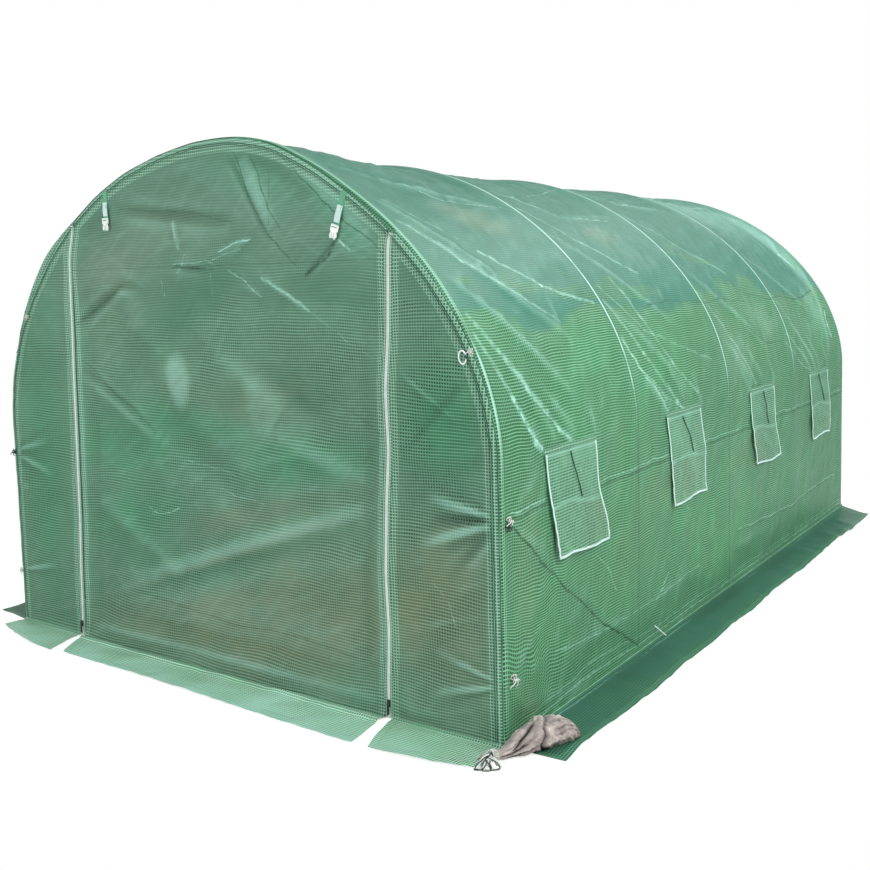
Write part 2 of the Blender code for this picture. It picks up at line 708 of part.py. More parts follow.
def build_flap(name, side, centre_y):
    """A film flap over a netted window, hemmed at both sides and at its foot."""
    near = HALF + GAP
    hinge = Vector((side * (near + FLAP_HEM_THICK), centre_y, FLAP_TOP))
    tall = FLAP_TOP - FLAP_FOOT

    def place(along, z, out):
        lean = FLAP_LEAN * ((FLAP_TOP - z) / tall - 0.5)
        return Vector((side * (near + out), centre_y + along + lean, z))

    wide = FLAP_WIDTH / 2
    ends = ((-wide, FLAP_FOOT), (wide, FLAP_FOOT), (wide, FLAP_TOP - 0.001), (-wide, FLAP_TOP - 0.001))
    inset = wide - FLAP_HEM
    foot, top = FLAP_FOOT + FLAP_HEM, FLAP_TOP - 0.001 - FLAP_HEM * 0.6
    inside = ((-inset, foot), (inset, foot), (inset, top), (-inset, top))
    points = [place(along, z, 0.0) for along, z in ends]
    points += [place(along, z, FLAP_HEM_THICK) for along, z in ends]
    points += [place(along, z, FLAP_HEM_THICK) for along, z in inside]
    points += [place(along, z, FLAP_FILM) for along, z in inside]
    faces = [(0, 1, 2, 3), (12, 13, 14, 15)]
    for index in range(4):
        after = (index + 1) % 4
        for low, high in ((0, 4), (4, 8), (8, 12)):
            faces.append((low + index, low + after, high + after, high + index))
    add_object(name, closed_mesh(name, points, faces), "flap_film", origin=hinge, smooth=False)


def build_flaps():
    for label, side in SIDES.items():
        for bay in range(BAYS):
            centre = FRONT + (bay + 0.5) * LENGTH / BAYS
            build_flap(f"window_flap_{label}_{bay + 1}", side, centre)


def build_ballast_bag():
    """A slack cloth bag, gathered at its neck, lying on the skirt."""
    along = BAG_END - BAG_NECK
    across = Vector((along.y, -along.x, 0)).normalized()
    up = Vector((0, 0, 1))
    floor = FILM + GAP
    rings = []
    for share, swell in BAG_SWELL.items():
        centre = BAG_NECK + along * share
        points = []
        for side in range(BAG_SIDES):
            turn = 2 * math.pi * side / BAG_SIDES
            crease = 1 + BAG_CREASE * math.cos(3 * turn + 5 * share)
            point = centre + across * (BAG_HALF_WIDTH * swell * math.cos(turn) * crease)
            point += up * (BAG_HALF_HEIGHT * swell * math.sin(turn) * crease)
            point.z = max(point.z, floor)
            points.append(point)
        rings.append(points)
    add_object("ballast_bag", loft_mesh("ballast_bag", rings), "bag_cloth")


def build_ballast_tie():
    """A cord wound two and a half times round the bag's neck."""
    along = (BAG_END - BAG_NECK).normalized()
    across = Vector((along.y, -along.x, 0)).normalized()
    up = across.cross(along)
    start = BAG_NECK + (BAG_END - BAG_NECK) * TIE_START
    reach = BAG_SWELL[0.16] * (1 + BAG_CREASE)
    wide = BAG_HALF_WIDTH * reach + TIE_CORD + TIE_CLEAR
    tall = BAG_HALF_HEIGHT * reach + TIE_CORD + TIE_CLEAR
    per_turn = 14
    count = int(per_turn * TIE_TURNS)
    pitch = 2 * TIE_CORD + 0.0012
    path = []
    for index in range(count + 1):
        turn = 2 * math.pi * index / per_turn
        path.append(start + along * (pitch * index / per_turn)
                    + across * (wide * math.cos(turn)) + up * (tall * math.sin(turn)))
    rings = []
    for index, point in enumerate(path):
        heading = (path[min(index + 1, count)] - path[max(index - 1, 0)]).normalized()
        out = along.cross(heading).normalized()
        rings.append(ring(point, out * TIE_CORD, heading.cross(out) * TIE_CORD, 6))
    add_object("ballast_tie", loft_mesh("ballast_tie", rings), "tie_cord")


def build_front():
    build_front_panels()
    build_gable_head()
    build_door()
    build_door_apron()
    for side, label in enumerate(SIDES):
        build_zip(f"zip_{label}", side)
        build_zip_slider(f"zip_slider_{label}", side)
        build_strap(label, side)


def main():
    clear_scene()
    build_frame()
    build_cover()
    build_back_panel()
    build_front()
    build_flaps()
    build_ballast_bag()
    build_ballast_tie()


main()
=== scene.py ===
"""Walk-in film tunnel on five hoops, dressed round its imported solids.

The film is woven tape coated on both sides: a dark open weave with paler threads in a square grid.
Every sheet is made from a grid of points on the tunnel's own outline, moved by one list of folds and
by fine ripples, and gets its wall from a second layer of points. X is across the tunnel, Y runs from
the door to the back, and Z is up, in metres.
"""

import logging
import math
from dataclasses import dataclass, field
from enum import Enum
from typing import Any, Iterable, Sequence

import bmesh
import bpy
import numpy as np
from bpy.types import ID, Material, Mesh, Node, NodeSocket, Object
from mathutils import Matrix, Vector


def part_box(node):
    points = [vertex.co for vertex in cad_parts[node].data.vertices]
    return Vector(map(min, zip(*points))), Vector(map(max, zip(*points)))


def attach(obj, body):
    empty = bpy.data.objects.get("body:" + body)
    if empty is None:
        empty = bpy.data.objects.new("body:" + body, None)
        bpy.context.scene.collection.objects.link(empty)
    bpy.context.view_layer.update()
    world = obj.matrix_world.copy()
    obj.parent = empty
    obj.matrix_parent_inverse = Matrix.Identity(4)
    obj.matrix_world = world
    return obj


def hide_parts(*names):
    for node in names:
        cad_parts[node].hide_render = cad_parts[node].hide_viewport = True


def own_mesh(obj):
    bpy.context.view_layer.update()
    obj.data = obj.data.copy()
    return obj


Array = np.ndarray
Colour = tuple[float, float, float]
Pair = tuple[float, float]
Triple = tuple[float, float, float]
log = logging.getLogger("polytunnel")

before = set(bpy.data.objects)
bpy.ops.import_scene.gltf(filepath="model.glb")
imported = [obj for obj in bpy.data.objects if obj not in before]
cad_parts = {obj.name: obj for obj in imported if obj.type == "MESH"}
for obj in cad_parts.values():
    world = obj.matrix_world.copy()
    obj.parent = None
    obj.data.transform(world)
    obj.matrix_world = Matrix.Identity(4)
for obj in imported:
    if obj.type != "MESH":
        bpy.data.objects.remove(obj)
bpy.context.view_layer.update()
TUNNEL = "tunnel"
BAYS = (-1.5, -0.5, 0.5, 1.5)


class Side(Enum):
    """Left and right as one stands before the door."""

    LEFT = -1
    RIGHT = 1

    @property
    def label(self) -> str:
        """The word that the solids' names use."""
        return self.name.lower()


class Facing(Enum):
    """The way an upright end panel looks, as a sign of Y."""

    FRONT = -1
    BACK = 1


def srgb(red: int, green: int, blue: int) -> Colour:
    """A colour as light, from its three screen values of 0 to 255."""
    return tuple(((c / 255 + 0.055) / 1.055) ** 2.4 if c > 10 else c / 3295 for c in (red, green, blue))


def smooth(low: float, high: float, value: Array) -> Array:
    """0 below low, 1 above high, with a soft step between."""
    share = np.clip((value - low) / (high - low), 0, 1)
    return share * share * (3 - 2 * share)


def curve_through(places: Array, count: int) -> Array:
    """Evenly parted points on a smooth curve through the given places.

    Args:
        places: one row each.
        count: how many points.

    Returns:
        One row for each point.
    """
    padded = np.concatenate([2 * places[:1] - places[1:2], places, 2 * places[-1:] - places[-2:-1]])
    steps = np.linspace(0, len(places) - 1.0001, count)
    index = steps.astype(int)
    f = (steps - index)[:, None]
    a, b, c, d = (padded[index + shift] for shift in range(4))
    return b + 0.5 * f * (c - a + f * (2 * a - 5 * b + 4 * c - d + f * (3 * (b - c) + d - a)))


def blend(start: Any, end: Any, share: Any) -> Any:
    """The value a share of the way from start to end."""
    return start + (end - start) * share


def vectors(x: Any, y: Any, z: Any) -> Array:
    """Vectors from their three parts, each a number or an array."""
    return np.stack(np.broadcast_arrays(x, y, z), -1).astype(float)


def unit(given: Array) -> Array:
    """The same directions at length 1."""
    return given / np.linalg.norm(given, axis=-1, keepdims=True)


def run_of(path: Array) -> Array:
    """How far along a path each of its points is."""
    return np.concatenate([[0], np.cumsum(np.linalg.norm(np.diff(path, axis=0), axis=1))])


def bell(value: Any, centre: float, reach: float) -> Any:
    """1 at the centre, falling away on both sides over the reach."""
    return np.exp(-((value - centre) / reach) ** 2)


def ripples(u: Array, v: Array, seed: int, longest: float, shortest: float, count: int = 9,
            sharp: bool = False, stretch: Pair = (1.0, 1.0)) -> Array:
    """Smooth or creased waves over a sheet, between about -1 and 1.

    Args:
        u, v: places on the sheet in metres.
        seed: fixes the directions.
        longest, shortest: wavelengths in metres.
        count: how many waves are added.
        sharp: folds with narrow crests in place of round ones.
        stretch: how much longer the waves are along u and along v.

    Returns:
        The height of the waves at each place.
    """
    draw = np.random.default_rng(seed)
    total, weight = 0.0, 0.0
    for number in range(count):
        wave = longest * (shortest / longest) ** (number / max(count - 1, 1))
        turn, phase, bend = draw.uniform(0, 2 * math.pi, 3)
        warp = 0.9 * np.sin(2.1 * (u * math.sin(bend) + v * math.cos(bend)) / longest + phase)
        run = (u / stretch[0] * math.cos(turn) + v / stretch[1] * math.sin(turn)) / wave
        value = np.sin(2 * math.pi * run + phase + warp)
        size = (wave / longest) ** 0.75
        total = total + size * (1 - 2 * np.abs(value) ** 0.7 if sharp else value)
        weight += size * size
    return total / math.sqrt(weight)


class Cross(Enum):
    """How a fold runs across itself."""

    SHARP = 0
    ROUND = 1
    FAN = 2


@dataclass(frozen=True)
class Crease:
    """A fine line of crease whitening and painted highlight, or a painted shade line where pale is negative.

    It is too fine for the mesh, so the film's shader draws it through the given places.
    """

    pale: float
    width: float
    places: tuple[Pair, ...]


@dataclass(frozen=True)
class Fold:
    """A fold between two places on a sheet.

    Sizes are in metres; height is negative where the film dips, and pale is the painted light along it,
    or the painted shade where negative. A fan starts narrow and high at its first place.
    """

    start: Pair
    end: Pair
    height: float
    width: float
    pale: float
    cross: Cross = Cross.SHARP

    def profile(self, u: Array, v: Array) -> Array:
        """How strong the fold is at each place.

        Args:
            u, v: places on the sheet.

        Returns:
            Shares from 0 to 1.
        """
        run = (self.end[0] - self.start[0], self.end[1] - self.start[1])
        length = run[0] ** 2 + run[1] ** 2
        raw = ((u - self.start[0]) * run[0] + (v - self.start[1]) * run[1]) / length
        share = np.clip(raw, 0, 1)
        off = np.hypot(u - self.start[0] - share * run[0], v - self.start[1] - share * run[1])
        if self.cross is Cross.FAN:
            return bell(off, 0.0, self.width * (0.25 + 1.5 * share)) * (1 - share) ** 0.7
        taper = np.sin(math.pi * np.clip(share, 0.02, 0.98)) ** 0.5
        sharp = self.cross is Cross.SHARP
        return (np.exp(-1.3 * off / self.width) if sharp else bell(off, 0.0, self.width)) * taper


def fold_rows(rows: Iterable[Sequence[float]]) -> list[Fold]:
    """Folds from rows of two places, height, width, paleness and, where it isn't sharp, the kind."""
    return [Fold(row[:2], row[2:4], *row[4:7], Cross(row[7] if len(row) > 7 else 0)) for row in rows]


def crease_rows(rows: Iterable[Sequence[float]]) -> tuple[Crease, ...]:
    """Creases from rows of paleness, width and the places that each one runs through."""
    return tuple(Crease(row[0], row[1], tuple(zip(row[2::2], row[3::2]))) for row in rows)


def fold_fields(folds: Iterable[Fold], u: Array, v: Array) -> tuple[Array, Array]:
    """What all the folds of a sheet give together.

    Args:
        folds: the folds.
        u, v: places on the sheet.

    Returns:
        Heights in metres and tones.
    """
    height, pale = np.zeros_like(u), np.zeros_like(u)
    for fold in folds:
        profile = fold.profile(u, v)
        height += fold.height * profile
        pale += fold.pale * profile
    return height, pale


@dataclass(frozen=True)
class Patch:
    """A soft oval of painted light and shade on a sheet: browner or greener, and lighter or darker.

    Attributes:
        centre: its middle on the sheet.
        reach: half its length and half its height in metres.
        tilt: the slope of its length in degrees.
        warm: above 0 for dust, below 0 for clean film.
        light: above 0 for paler film.
        crisp: how sharply it ends.
    """

    centre: Pair
    reach: Pair
    tilt: float = 0.0
    # warm: above 0 for brown painted shade of ground seen through, below 0 for teal painted sheen.
    warm: float = 0.0
    # light: above 0 for painted light, below 0 for painted shade.
    light: float = 0.0
    crisp: float = 1.3

    def share(self, u: Array, v: Array) -> Array:
        """How strong the patch is at each place.

        Args:
            u, v: places on the sheet.

        Returns:
            Shares from 0 to 1.
        """
        turn = math.radians(self.tilt)
        run_u, run_v = u - self.centre[0], v - self.centre[1]
        along = (run_u * math.cos(turn) + run_v * math.sin(turn)) / self.reach[0]
        across = (run_v * math.cos(turn) - run_u * math.sin(turn)) / self.reach[1]
        return np.exp(-((along ** 2 + across ** 2) ** self.crisp))


def tint_field(rows: Iterable[Sequence[float]], u: Array, v: Array) -> Array:
    """The tint attribute that patches give.

    Args:
        rows: the centre, reach and other values of each patch.
        u, v: places on the sheet.

    Returns:
        Warmth, light and 0 at each place.
    """
    result = np.zeros(u.shape + (3,))
    for row in rows:
        patch = Patch(row[:2], row[2:4], *row[4:])
        share = patch.share(u, v)
        result[..., 0] += patch.warm * share
        result[..., 1] += patch.light * share
    return result


@dataclass(frozen=True)
class TunnelSize:
    """Main sizes over the film, as in the solids."""

    length: float = 4.0
    width: float = 2.574
    height: float = 2.0
    spring: float = 0.917
    power: float = 1.868
    skirt: float = 0.2
    hoops: tuple[float, ...] = (-1.982, -1.0, 0.0, 1.0, 1.982)
    face: float = 2.0025
    zip_at: Pair = (-0.83, 0.85)
    zip_lean: float = 0.035
    door_head: float = 1.56
    zip_edge: float = 0.0155

    @property
    def half(self) -> float:
        """Half the width."""
        return self.width / 2

    @property
    def end(self) -> float:
        """Half the length."""
        return self.length / 2

    def section(self) -> tuple[Array, Array, Array]:
        """The outline from the right foot over the ridge to the left foot.

        Returns:
            Distances along it, its points (x, z) and its outward directions.
        """
        rise = self.height - self.spring
        turn = np.linspace(0, math.pi, 2401)
        cosine, sine = np.cos(turn), np.clip(np.sin(turn), 0, 1)
        arch = np.stack([np.sign(cosine) * np.abs(cosine) ** (2 / self.power) * self.half,
                         self.spring + sine ** (2 / self.power) * rise], 1)
        wall = np.linspace(0, self.spring, 200, endpoint=False)
        right = np.stack([np.full_like(wall, self.half), wall], 1)
        points = np.concatenate([right, arch, (right * (-1, 1))[::-1]])
        along = run_of(points)
        tangent = unit(np.gradient(points, along, axis=0))
        return along, points, np.stack([tangent[:, 1], -tangent[:, 0]], 1)

    def zip_x(self, side: Side, z: Any) -> Any:
        """The middle line of a zip: straight and leaning beside the door, and bent outwards above it.

        Args:
            side: which zip.
            z: heights.

        Returns:
            Its x at each height.
        """
        index = 0 if side is Side.LEFT else 1
        straight = self.zip_at[index] + self.zip_lean * (z - 0.8)
        above = np.clip(z - self.door_head, 0, 1)
        places = (0.0, 0.12, 0.30, 0.50, 0.75, 0.93, 1.13, 1.31, 1.42, 1.50)
        sway = ((0.0, 0.001, 0.000, 0.006, 0.004, 0.003, 0.000, 0.002, 0.0, 0.0),
                (0.0, -0.004, 0.000, -0.014, -0.009, 0.000, -0.013, -0.001, 0.0, 0.0))[index]
        fine = np.linspace(0, 1.5, 151)
        table = np.convolve(np.interp(fine, places, sway), np.hanning(15) / np.hanning(15).sum(), "same")
        waver = np.interp(z, fine, table)
        return straight + waver + (0.16, 0.20)[index] * above * smooth(0, 0.15, above)


SIZE = TunnelSize()
ALONG, OUTLINE, OUTWARD = SIZE.section()
GIRTH = float(ALONG[-1])
LOOSE = ((1.5, 0.0), (2.0, 0.005), (2.24, 0.022), (2.40, 0.038), (2.55, 0.035), (2.76, 0.018), (2.96, 0.010),
         (3.28, 0.010), (3.65, 0.008), (3.9, 0.0))


def billow(distance: Array, y: Any) -> Array:
    """How far the loose cover stands off the front hoop.

    Args:
        distance: distances from the right foot.
        y: places along the tunnel.

    Returns:
        Metres over the outline.
    """
    fine = np.linspace(0, GIRTH, 1200)
    table = np.interp(fine, [s for s, _ in LOOSE], [h for _, h in LOOSE])
    table = np.convolve(table, np.hanning(61) / np.hanning(61).sum(), "same")
    return np.interp(distance, fine, table) * (1 - smooth(-1.9, -1.0, y))


def outline_at(distance: Array, inset: float = 0.0) -> tuple[Array, Array]:
    """Points of the outline.

    Args:
        distance: distances from the right foot.
        inset: how far inwards they are moved.

    Returns:
        Their x and their z.
    """
    axes = []
    for axis in (0, 1):
        place = np.interp(distance, ALONG, OUTLINE[:, axis])
        axes.append(place - inset * np.interp(distance, ALONG, OUTWARD[:, axis]))
    return axes[0], axes[1]


def girth_at_x(x: float) -> float:
    """Where along the outline the arch has an x.

    Args:
        x: a place across the tunnel.

    Returns:
        The distance from the right foot.
    """
    low, high = SIZE.spring, GIRTH - SIZE.spring
    for _ in range(40):
        middle = (low + high) / 2
        low, high = (middle, high) if outline_at(np.array(middle))[0] > x else (low, middle)
    return low


def zip_girth(side: Side) -> float:
    """Where along the outline a zip meets the arch.

    Args:
        side: which zip.

    Returns:
        The distance from the right foot.
    """
    z = SIZE.door_head
    for _ in range(12):
        place = girth_at_x(float(SIZE.zip_x(side, z)))
        z = float(outline_at(np.array(place))[1])
    return place


def from_arch(x: Array, z: Array, y: float) -> Array:
    """How far places on an end panel are from the arch's edge.

    Args:
        x, z: the places.
        y: the panel's place along the tunnel.

    Returns:
        Distances in metres.
    """
    along = np.linspace(0, GIRTH, 500)
    edge = np.stack(outline_at(along, -billow(along, y)), 1)
    places = np.stack([x.ravel(), z.ravel()], 1)
    best = np.full(len(places), 9.0)
    for start in range(0, len(places), 4000):
        part = places[start:start + 4000]
        best[start:start + 4000] = np.sqrt(((part[:, None] - edge[None]) ** 2).sum(2).min(1))
    return best.reshape(x.shape)


class Value:
    """A socket of a shader tree that can be used in sums."""

    def __init__(self, tree: "Shader", socket: NodeSocket) -> None:
        """Keeps the socket with the tree that it belongs to."""
        self.tree = tree
        self.socket = socket

    def _sum(self, operation: str, *others: Any) -> "Value":
        """This value and others through one Math node."""
        return self.tree.maths(operation, self, *others)

    def __add__(self, other: Any) -> "Value":
        """Sum."""
        return self._sum("ADD", other)

    __radd__ = __add__

    def __sub__(self, other: Any) -> "Value":
        """Difference."""
        return self._sum("SUBTRACT", other)

    def __rsub__(self, other: Any) -> "Value":
        """Difference from a number."""
        return self.tree.maths("SUBTRACT", other, self)

    def __mul__(self, other: Any) -> "Value":
        """Product."""
        return self._sum("MULTIPLY", other)

    __rmul__ = __mul__

    def __truediv__(self, other: Any) -> "Value":
        """Quotient."""
        return self._sum("DIVIDE", other)

    def __pow__(self, other: float) -> "Value":
        """Power."""
        return self._sum("POWER", other)

    def at_least(self, least: Any) -> "Value":
        """The larger of two."""
        return self._sum("MAXIMUM", least)

    def step(self, low: float, high: float) -> "Value":
        """0 below low, 1 above high, and a soft step between; falling where low is above high."""
        ends = {1: low, 2: high} if low < high else {1: high, 2: low, 3: 1.0, 4: 0.0}
        return self.tree.node("ShaderNodeMapRange", {"interpolation_type": "SMOOTHSTEP"}, {0: self} | ends)


class Shader:
    """A material, or a world, that is written as expressions."""

    def __init__(self, name: str, kinds: Any = bpy.data.materials) -> None:
        """Starts an empty one.

        Args:
            name: its name.
            kinds: what it is one of, the materials or the worlds.
        """
        self.material = kinds.new(name)
        self.material.use_nodes = True
        self.links = self.material.node_tree.links
        self.nodes = self.material.node_tree.nodes
        self.nodes.clear()

    def node(self, kind: str, settings: dict[str, Any] | None = None,
             inputs: dict[Any, Any] | None = None, output: Any = 0,
             stops: Sequence[tuple[float, Colour]] = ()) -> Value:
        """Adds any node.

        Args:
            kind: the node's type.
            settings: properties, set before its sockets.
            inputs: a number, a colour or a Value for each socket, by name or index.
            output: the socket that is returned, by name or index.
            stops: places and colours of a colour ramp.

        Returns:
            One of the node's outputs.
        """
        made = self.nodes.new(kind)
        for name, value in (settings or {}).items():
            setattr(made, name, value)
        if stops:
            ramp = made.color_ramp
            while len(ramp.elements) < len(stops):
                ramp.elements.new(1.0)
            for element, (place, colour) in zip(ramp.elements, stops):
                element.position, element.color = place, (*colour, 1.0)
        for key, value in (inputs or {}).items():
            socket = made.inputs[key]
            if isinstance(value, Value):
                self.links.new(value.socket, socket)
            elif isinstance(value, tuple) and len(value) == 3 and socket.type == "RGBA":
                socket.default_value = (*value, 1.0)
            else:
                socket.default_value = value
        return Value(self, made.outputs[output])

    def maths(self, operation: str, *values: Any) -> Value:
        """One Math node over values."""
        return self.node("ShaderNodeMath", {"operation": operation}, dict(enumerate(values)))

    def mix(self, share: Any, first: Any, second: Any, blend_type: str = "MIX") -> Value:
        """Two colours mixed by a share."""
        settings = {"data_type": "RGBA", "blend_type": blend_type, "clamp_factor": True}
        return self.node("ShaderNodeMix", settings, {0: share, 6: first, 7: second}, 2)

    def vector(self, operation: str, first: Any, second: Any = None, scale: Any = None) -> Value:
        """One Vector Math node.

        Args:
            operation: what it works out.
            first, second: its vectors.
            scale: its factor, where it scales.

        Returns:
            Its vector, or its number where the operation gives one.
        """
        inputs = {0: first} if second is None else {0: first, 1: second}
        if scale is not None:
            inputs["Scale"] = scale
        number = operation in ("DOT_PRODUCT", "DISTANCE", "LENGTH")
        return self.node("ShaderNodeVectorMath", {"operation": operation}, inputs,
                         "Value" if number else 0)

    def split(self, vector: Value) -> tuple[Value, Value, Value]:
        """The parts of a vector.

        Args:
            vector: the vector.

        Returns:
            Its X, Y and Z.
        """
        first = self.node("ShaderNodeSeparateXYZ", None, {0: vector})
        outputs = first.socket.node.outputs
        return first, Value(self, outputs[1]), Value(self, outputs[2])

    def place(self) -> Value:
        """Object coordinates, which are tunnel coordinates on every piece."""
        return self.node("ShaderNodeTexCoord", None, None, "Object")

    def attribute(self, name: str) -> Value:
        """A vector that the mesh carries."""
        return self.node("ShaderNodeAttribute", {"attribute_name": name}, None, "Vector")

    def noise(self, vector: Value, scale: float, detail: float = 2.0, rough: float = 0.5) -> Value:
        """Plain noise from 0 to 1."""
        return self.node("ShaderNodeTexNoise", None,
                         {"Vector": vector, "Scale": scale, "Detail": detail, "Roughness": rough})

    def threads(self, run: Value, pitch: float, share: float) -> Value:
        """Lines across a run, one each pitch, that take a share of it."""
        wave = self.maths("ABSOLUTE", self.maths("FRACT", run / pitch) - 0.5) * 2.0
        return wave.step(1.0 - share, 1.0 - share * 0.35)

    def bump(self, height: Value, distance: float, strength: float = 1.0) -> Value:
        """A normal from a height."""
        return self.node("ShaderNodeBump", None,
                         {"Height": height, "Distance": distance, "Strength": strength})

    def principled(self, **inputs: Any) -> Value:
        """The main shader, its sockets by name with _ for a space."""
        named = {key.replace("_", " "): value for key, value in inputs.items()}
        return self.node("ShaderNodeBsdfPrincipled", None, named)

    def finish(self, surface: Value, kind: str = "Material") -> Any:
        """Joins the surface to the output.

        Args:
            surface: the closing shader.
            kind: Material or World.

        Returns:
            The material or the world.
        """
        made = self.nodes.new(f"ShaderNodeOutput{kind}")
        self.links.new(surface.socket, made.inputs["Surface"])
        return self.material


@dataclass(frozen=True)
class FilmFinish:
    """Woven film with a square grid of paler threads. It lets some light and sight through.

    Attributes:
        deep, clear: the film's colour where clouds are dark and light.
        thread: the colour of the reinforcing grid.
        warm, cool: the brown painted shade and the teal painted sheen that patches are tinted with.
        sky: a painted sky colour above the eaves, standing for the light that comes through from behind.
        lying: the colour of the part that lies on the ground, a painted shade or painted light there.
        cell: the pitch of the grid in metres.
        body: how opaque one layer of a cell is.
        glow: the share of light that comes through instead of off the film.
        weave, ground_weave: how strongly the pale threads show, and how much more on the ground.
        weft: how dark the lines between them are.
        eaves, haze: the height over which the painted sky shows, and the painted paleness just above it.
        creases, mirror: the fine lines, and the place along v at which they are mirrored.
        gap, hem_gap: the dark colours between the threads, on the sheet and on its hem.
        lit_thread: the threads' colour on the ground.
        bent, hollow: painted highlight on outward folds, partly crease whitening, and painted shade in
            inward ones.
    """

    name: str
    deep: Colour
    clear: Colour
    thread: Colour
    warm: Colour
    cool: Colour
    sky: Colour
    lying: Colour
    cell: float = 0.0105
    body: float = 0.74
    glow: float = 0.2
    weave: float = 0.68
    weft: float = 0.35
    eaves: float = 1.37
    ground_weave: float = 0.30
    creases: tuple[Crease, ...] = ()
    mirror: float = 100.0
    haze: float = 0.0
    gap: Colour = (0.018, 0.085, 0.045)
    hem_gap: Colour = (0.02, 0.08, 0.045)
    lit_thread: Colour = (0.72, 0.97, 0.84)
    bent: Colour = (0.47, 0.84, 0.73)
    hollow: Colour = (0.02, 0.075, 0.045)

    def crease_lines(self, tree: Shader, u: Value, v: Value, warp: Value) -> Value:
        """How pale the creases make each place.

        Args:
            tree: the shader.
            u, v: the place on the sheet.
            warp: a vector that roughens the lines.

        Returns:
            The sum over all the creases.
        """
        folded = self.mirror - tree.maths("ABSOLUTE", v - self.mirror)
        spot = tree.node("ShaderNodeCombineXYZ", None, {0: u, 1: folded})
        spot = tree.vector("ADD", spot, tree.vector("SCALE", warp, None, 0.016))
        total = tree.maths("ADD", 0.0, 0.0)
        for crease in self.creases:
            for start, end in zip(crease.places, crease.places[1:]):
                run = Vector((end[0] - start[0], end[1] - start[1], 0.0))
                rel = tree.vector("SUBTRACT", spot, (*start, 0.0))
                dot = tree.vector("DOT_PRODUCT", rel, tuple(run / run.length_squared))
                share = tree.maths("MINIMUM", tree.maths("MAXIMUM", dot, 0.0), 1.0)
                off = tree.vector("DISTANCE", rel, tree.vector("SCALE", tuple(run), None, share))
                total = total + off.step(crease.width, crease.width * 0.25) * crease.pale
        return total

    def material(self) -> Material:
        """Builds the shader from the mesh's three attributes: cloth, painted light and shade with wear, and
        tint.

        Returns:
            The material.
        """
        tree = Shader(self.name)
        u, v, edge = tree.split(tree.attribute("cloth"))
        tone, hoop, ground = tree.split(tree.attribute("worn"))
        warmth, light, _ = tree.split(tree.attribute("tint"))
        place = tree.place()
        height = tree.split(place)[2]
        cloud = tree.noise(place, 1.3, 3.0, 0.55)
        patch = tree.noise(place, 4.5, 4.0, 0.6)
        fine = tree.noise(place, 45.0, 4.0, 0.65)
        strong = patch.step(0.38, 0.62)
        across = tree.threads(u, self.cell, 0.46) * (0.25 + 0.45 * strong)
        along = tree.threads(v, self.cell, 0.46) * (1.0 - 0.35 * strong)
        grid = across.at_least(along)
        hem = edge.step(0.034, 0.030)
        ladder = tree.threads(u, self.cell, 0.40).at_least(tree.threads(v, self.cell, 0.40))
        seam = edge.step(0.0330, 0.0315) * edge.step(0.0285, 0.0300)
        # crest: a painted highlight along each hoop's top, partly film worn pale there; beside: a painted
        # shade line next to it.
        crest = hoop.step(0.0075, 0.0025) * height.step(0.75, 1.2) * (0.35 + 0.65 * patch.step(0.30, 0.55))
        beside = hoop.step(0.020, 0.015) * hoop.step(0.0075, 0.0105) * height.step(0.3, 1.2)
        clouds = cloud + 0.5 * (fine - 0.5) + 0.35 * patch
        colour = tree.mix(clouds.step(0.40, 0.95), self.deep, self.clear)
        # Painted sky light: above a wavy level near the eaves the film takes the sky colour, paler just
        # above.
        drape = tree.noise(tree.vector("MULTIPLY", place, (1.0, 0.9, 1.6)), 1.9, 3.0, 0.5)
        level = height + 0.42 * (drape - 0.5) + 0.06 * (patch - 0.5)
        above = level.step(self.eaves - 0.02, self.eaves + 0.03)
        island = tree.noise(tree.vector("MULTIPLY", place, (1.5, 0.75, 3.2)), 2.3, 3.0, 0.5)
        above = above * (1.0 - 0.5 * island.step(0.57, 0.63) * height.step(1.72, 1.55))
        colour = tree.mix(above * 0.85, colour, self.sky)
        # Patches: brown painted shade where dark ground shows through, teal painted sheen.
        colour = tree.mix(warmth.at_least(0.0), colour, self.warm)
        colour = tree.mix((warmth * -1.0).at_least(0.0), colour, self.cool)
        # The part on the ground takes the lying colour: painted shade on the side skirts, painted light on
        # the ends' skirts.
        colour = tree.mix(ground, colour, self.lying)
        warp = tree.vector("SUBTRACT", tree.node("ShaderNodeTexNoise", None, {
            "Vector": place, "Scale": 22.0, "Detail": 3.0}, "Color"), (0.5, 0.5, 0.5))
        tone = tone + self.crease_lines(tree, u, v, warp) * (fine.step(0.30, 0.62) * 0.9 + 0.15)
        show = grid * (self.weave + 0.35 * (patch - 0.5) + self.ground_weave * ground)
        show = (show * (1.0 - 0.80 * above)).at_least(ladder * hem * (0.9 - 0.5 * ground))
        shade = tree.threads(v + self.cell / 2, self.cell, 0.66) * (0.30 + 1.3 * patch.step(0.36, 0.62))
        shade = shade * self.weft * (1.0 - 0.65 * above) * (1.0 - 0.2 * ground)
        colour = tree.mix(shade, colour, self.gap)
        colour = tree.mix(hem * (1.0 - ladder) * (0.55 - 0.3 * ground), colour, self.hem_gap)
        thread = tree.mix((ground * self.ground_weave).at_least(0.0), self.thread, self.lit_thread)
        colour = tree.mix(show, colour, thread)
        colour = tree.mix(seam * 0.5, colour, self.deep)
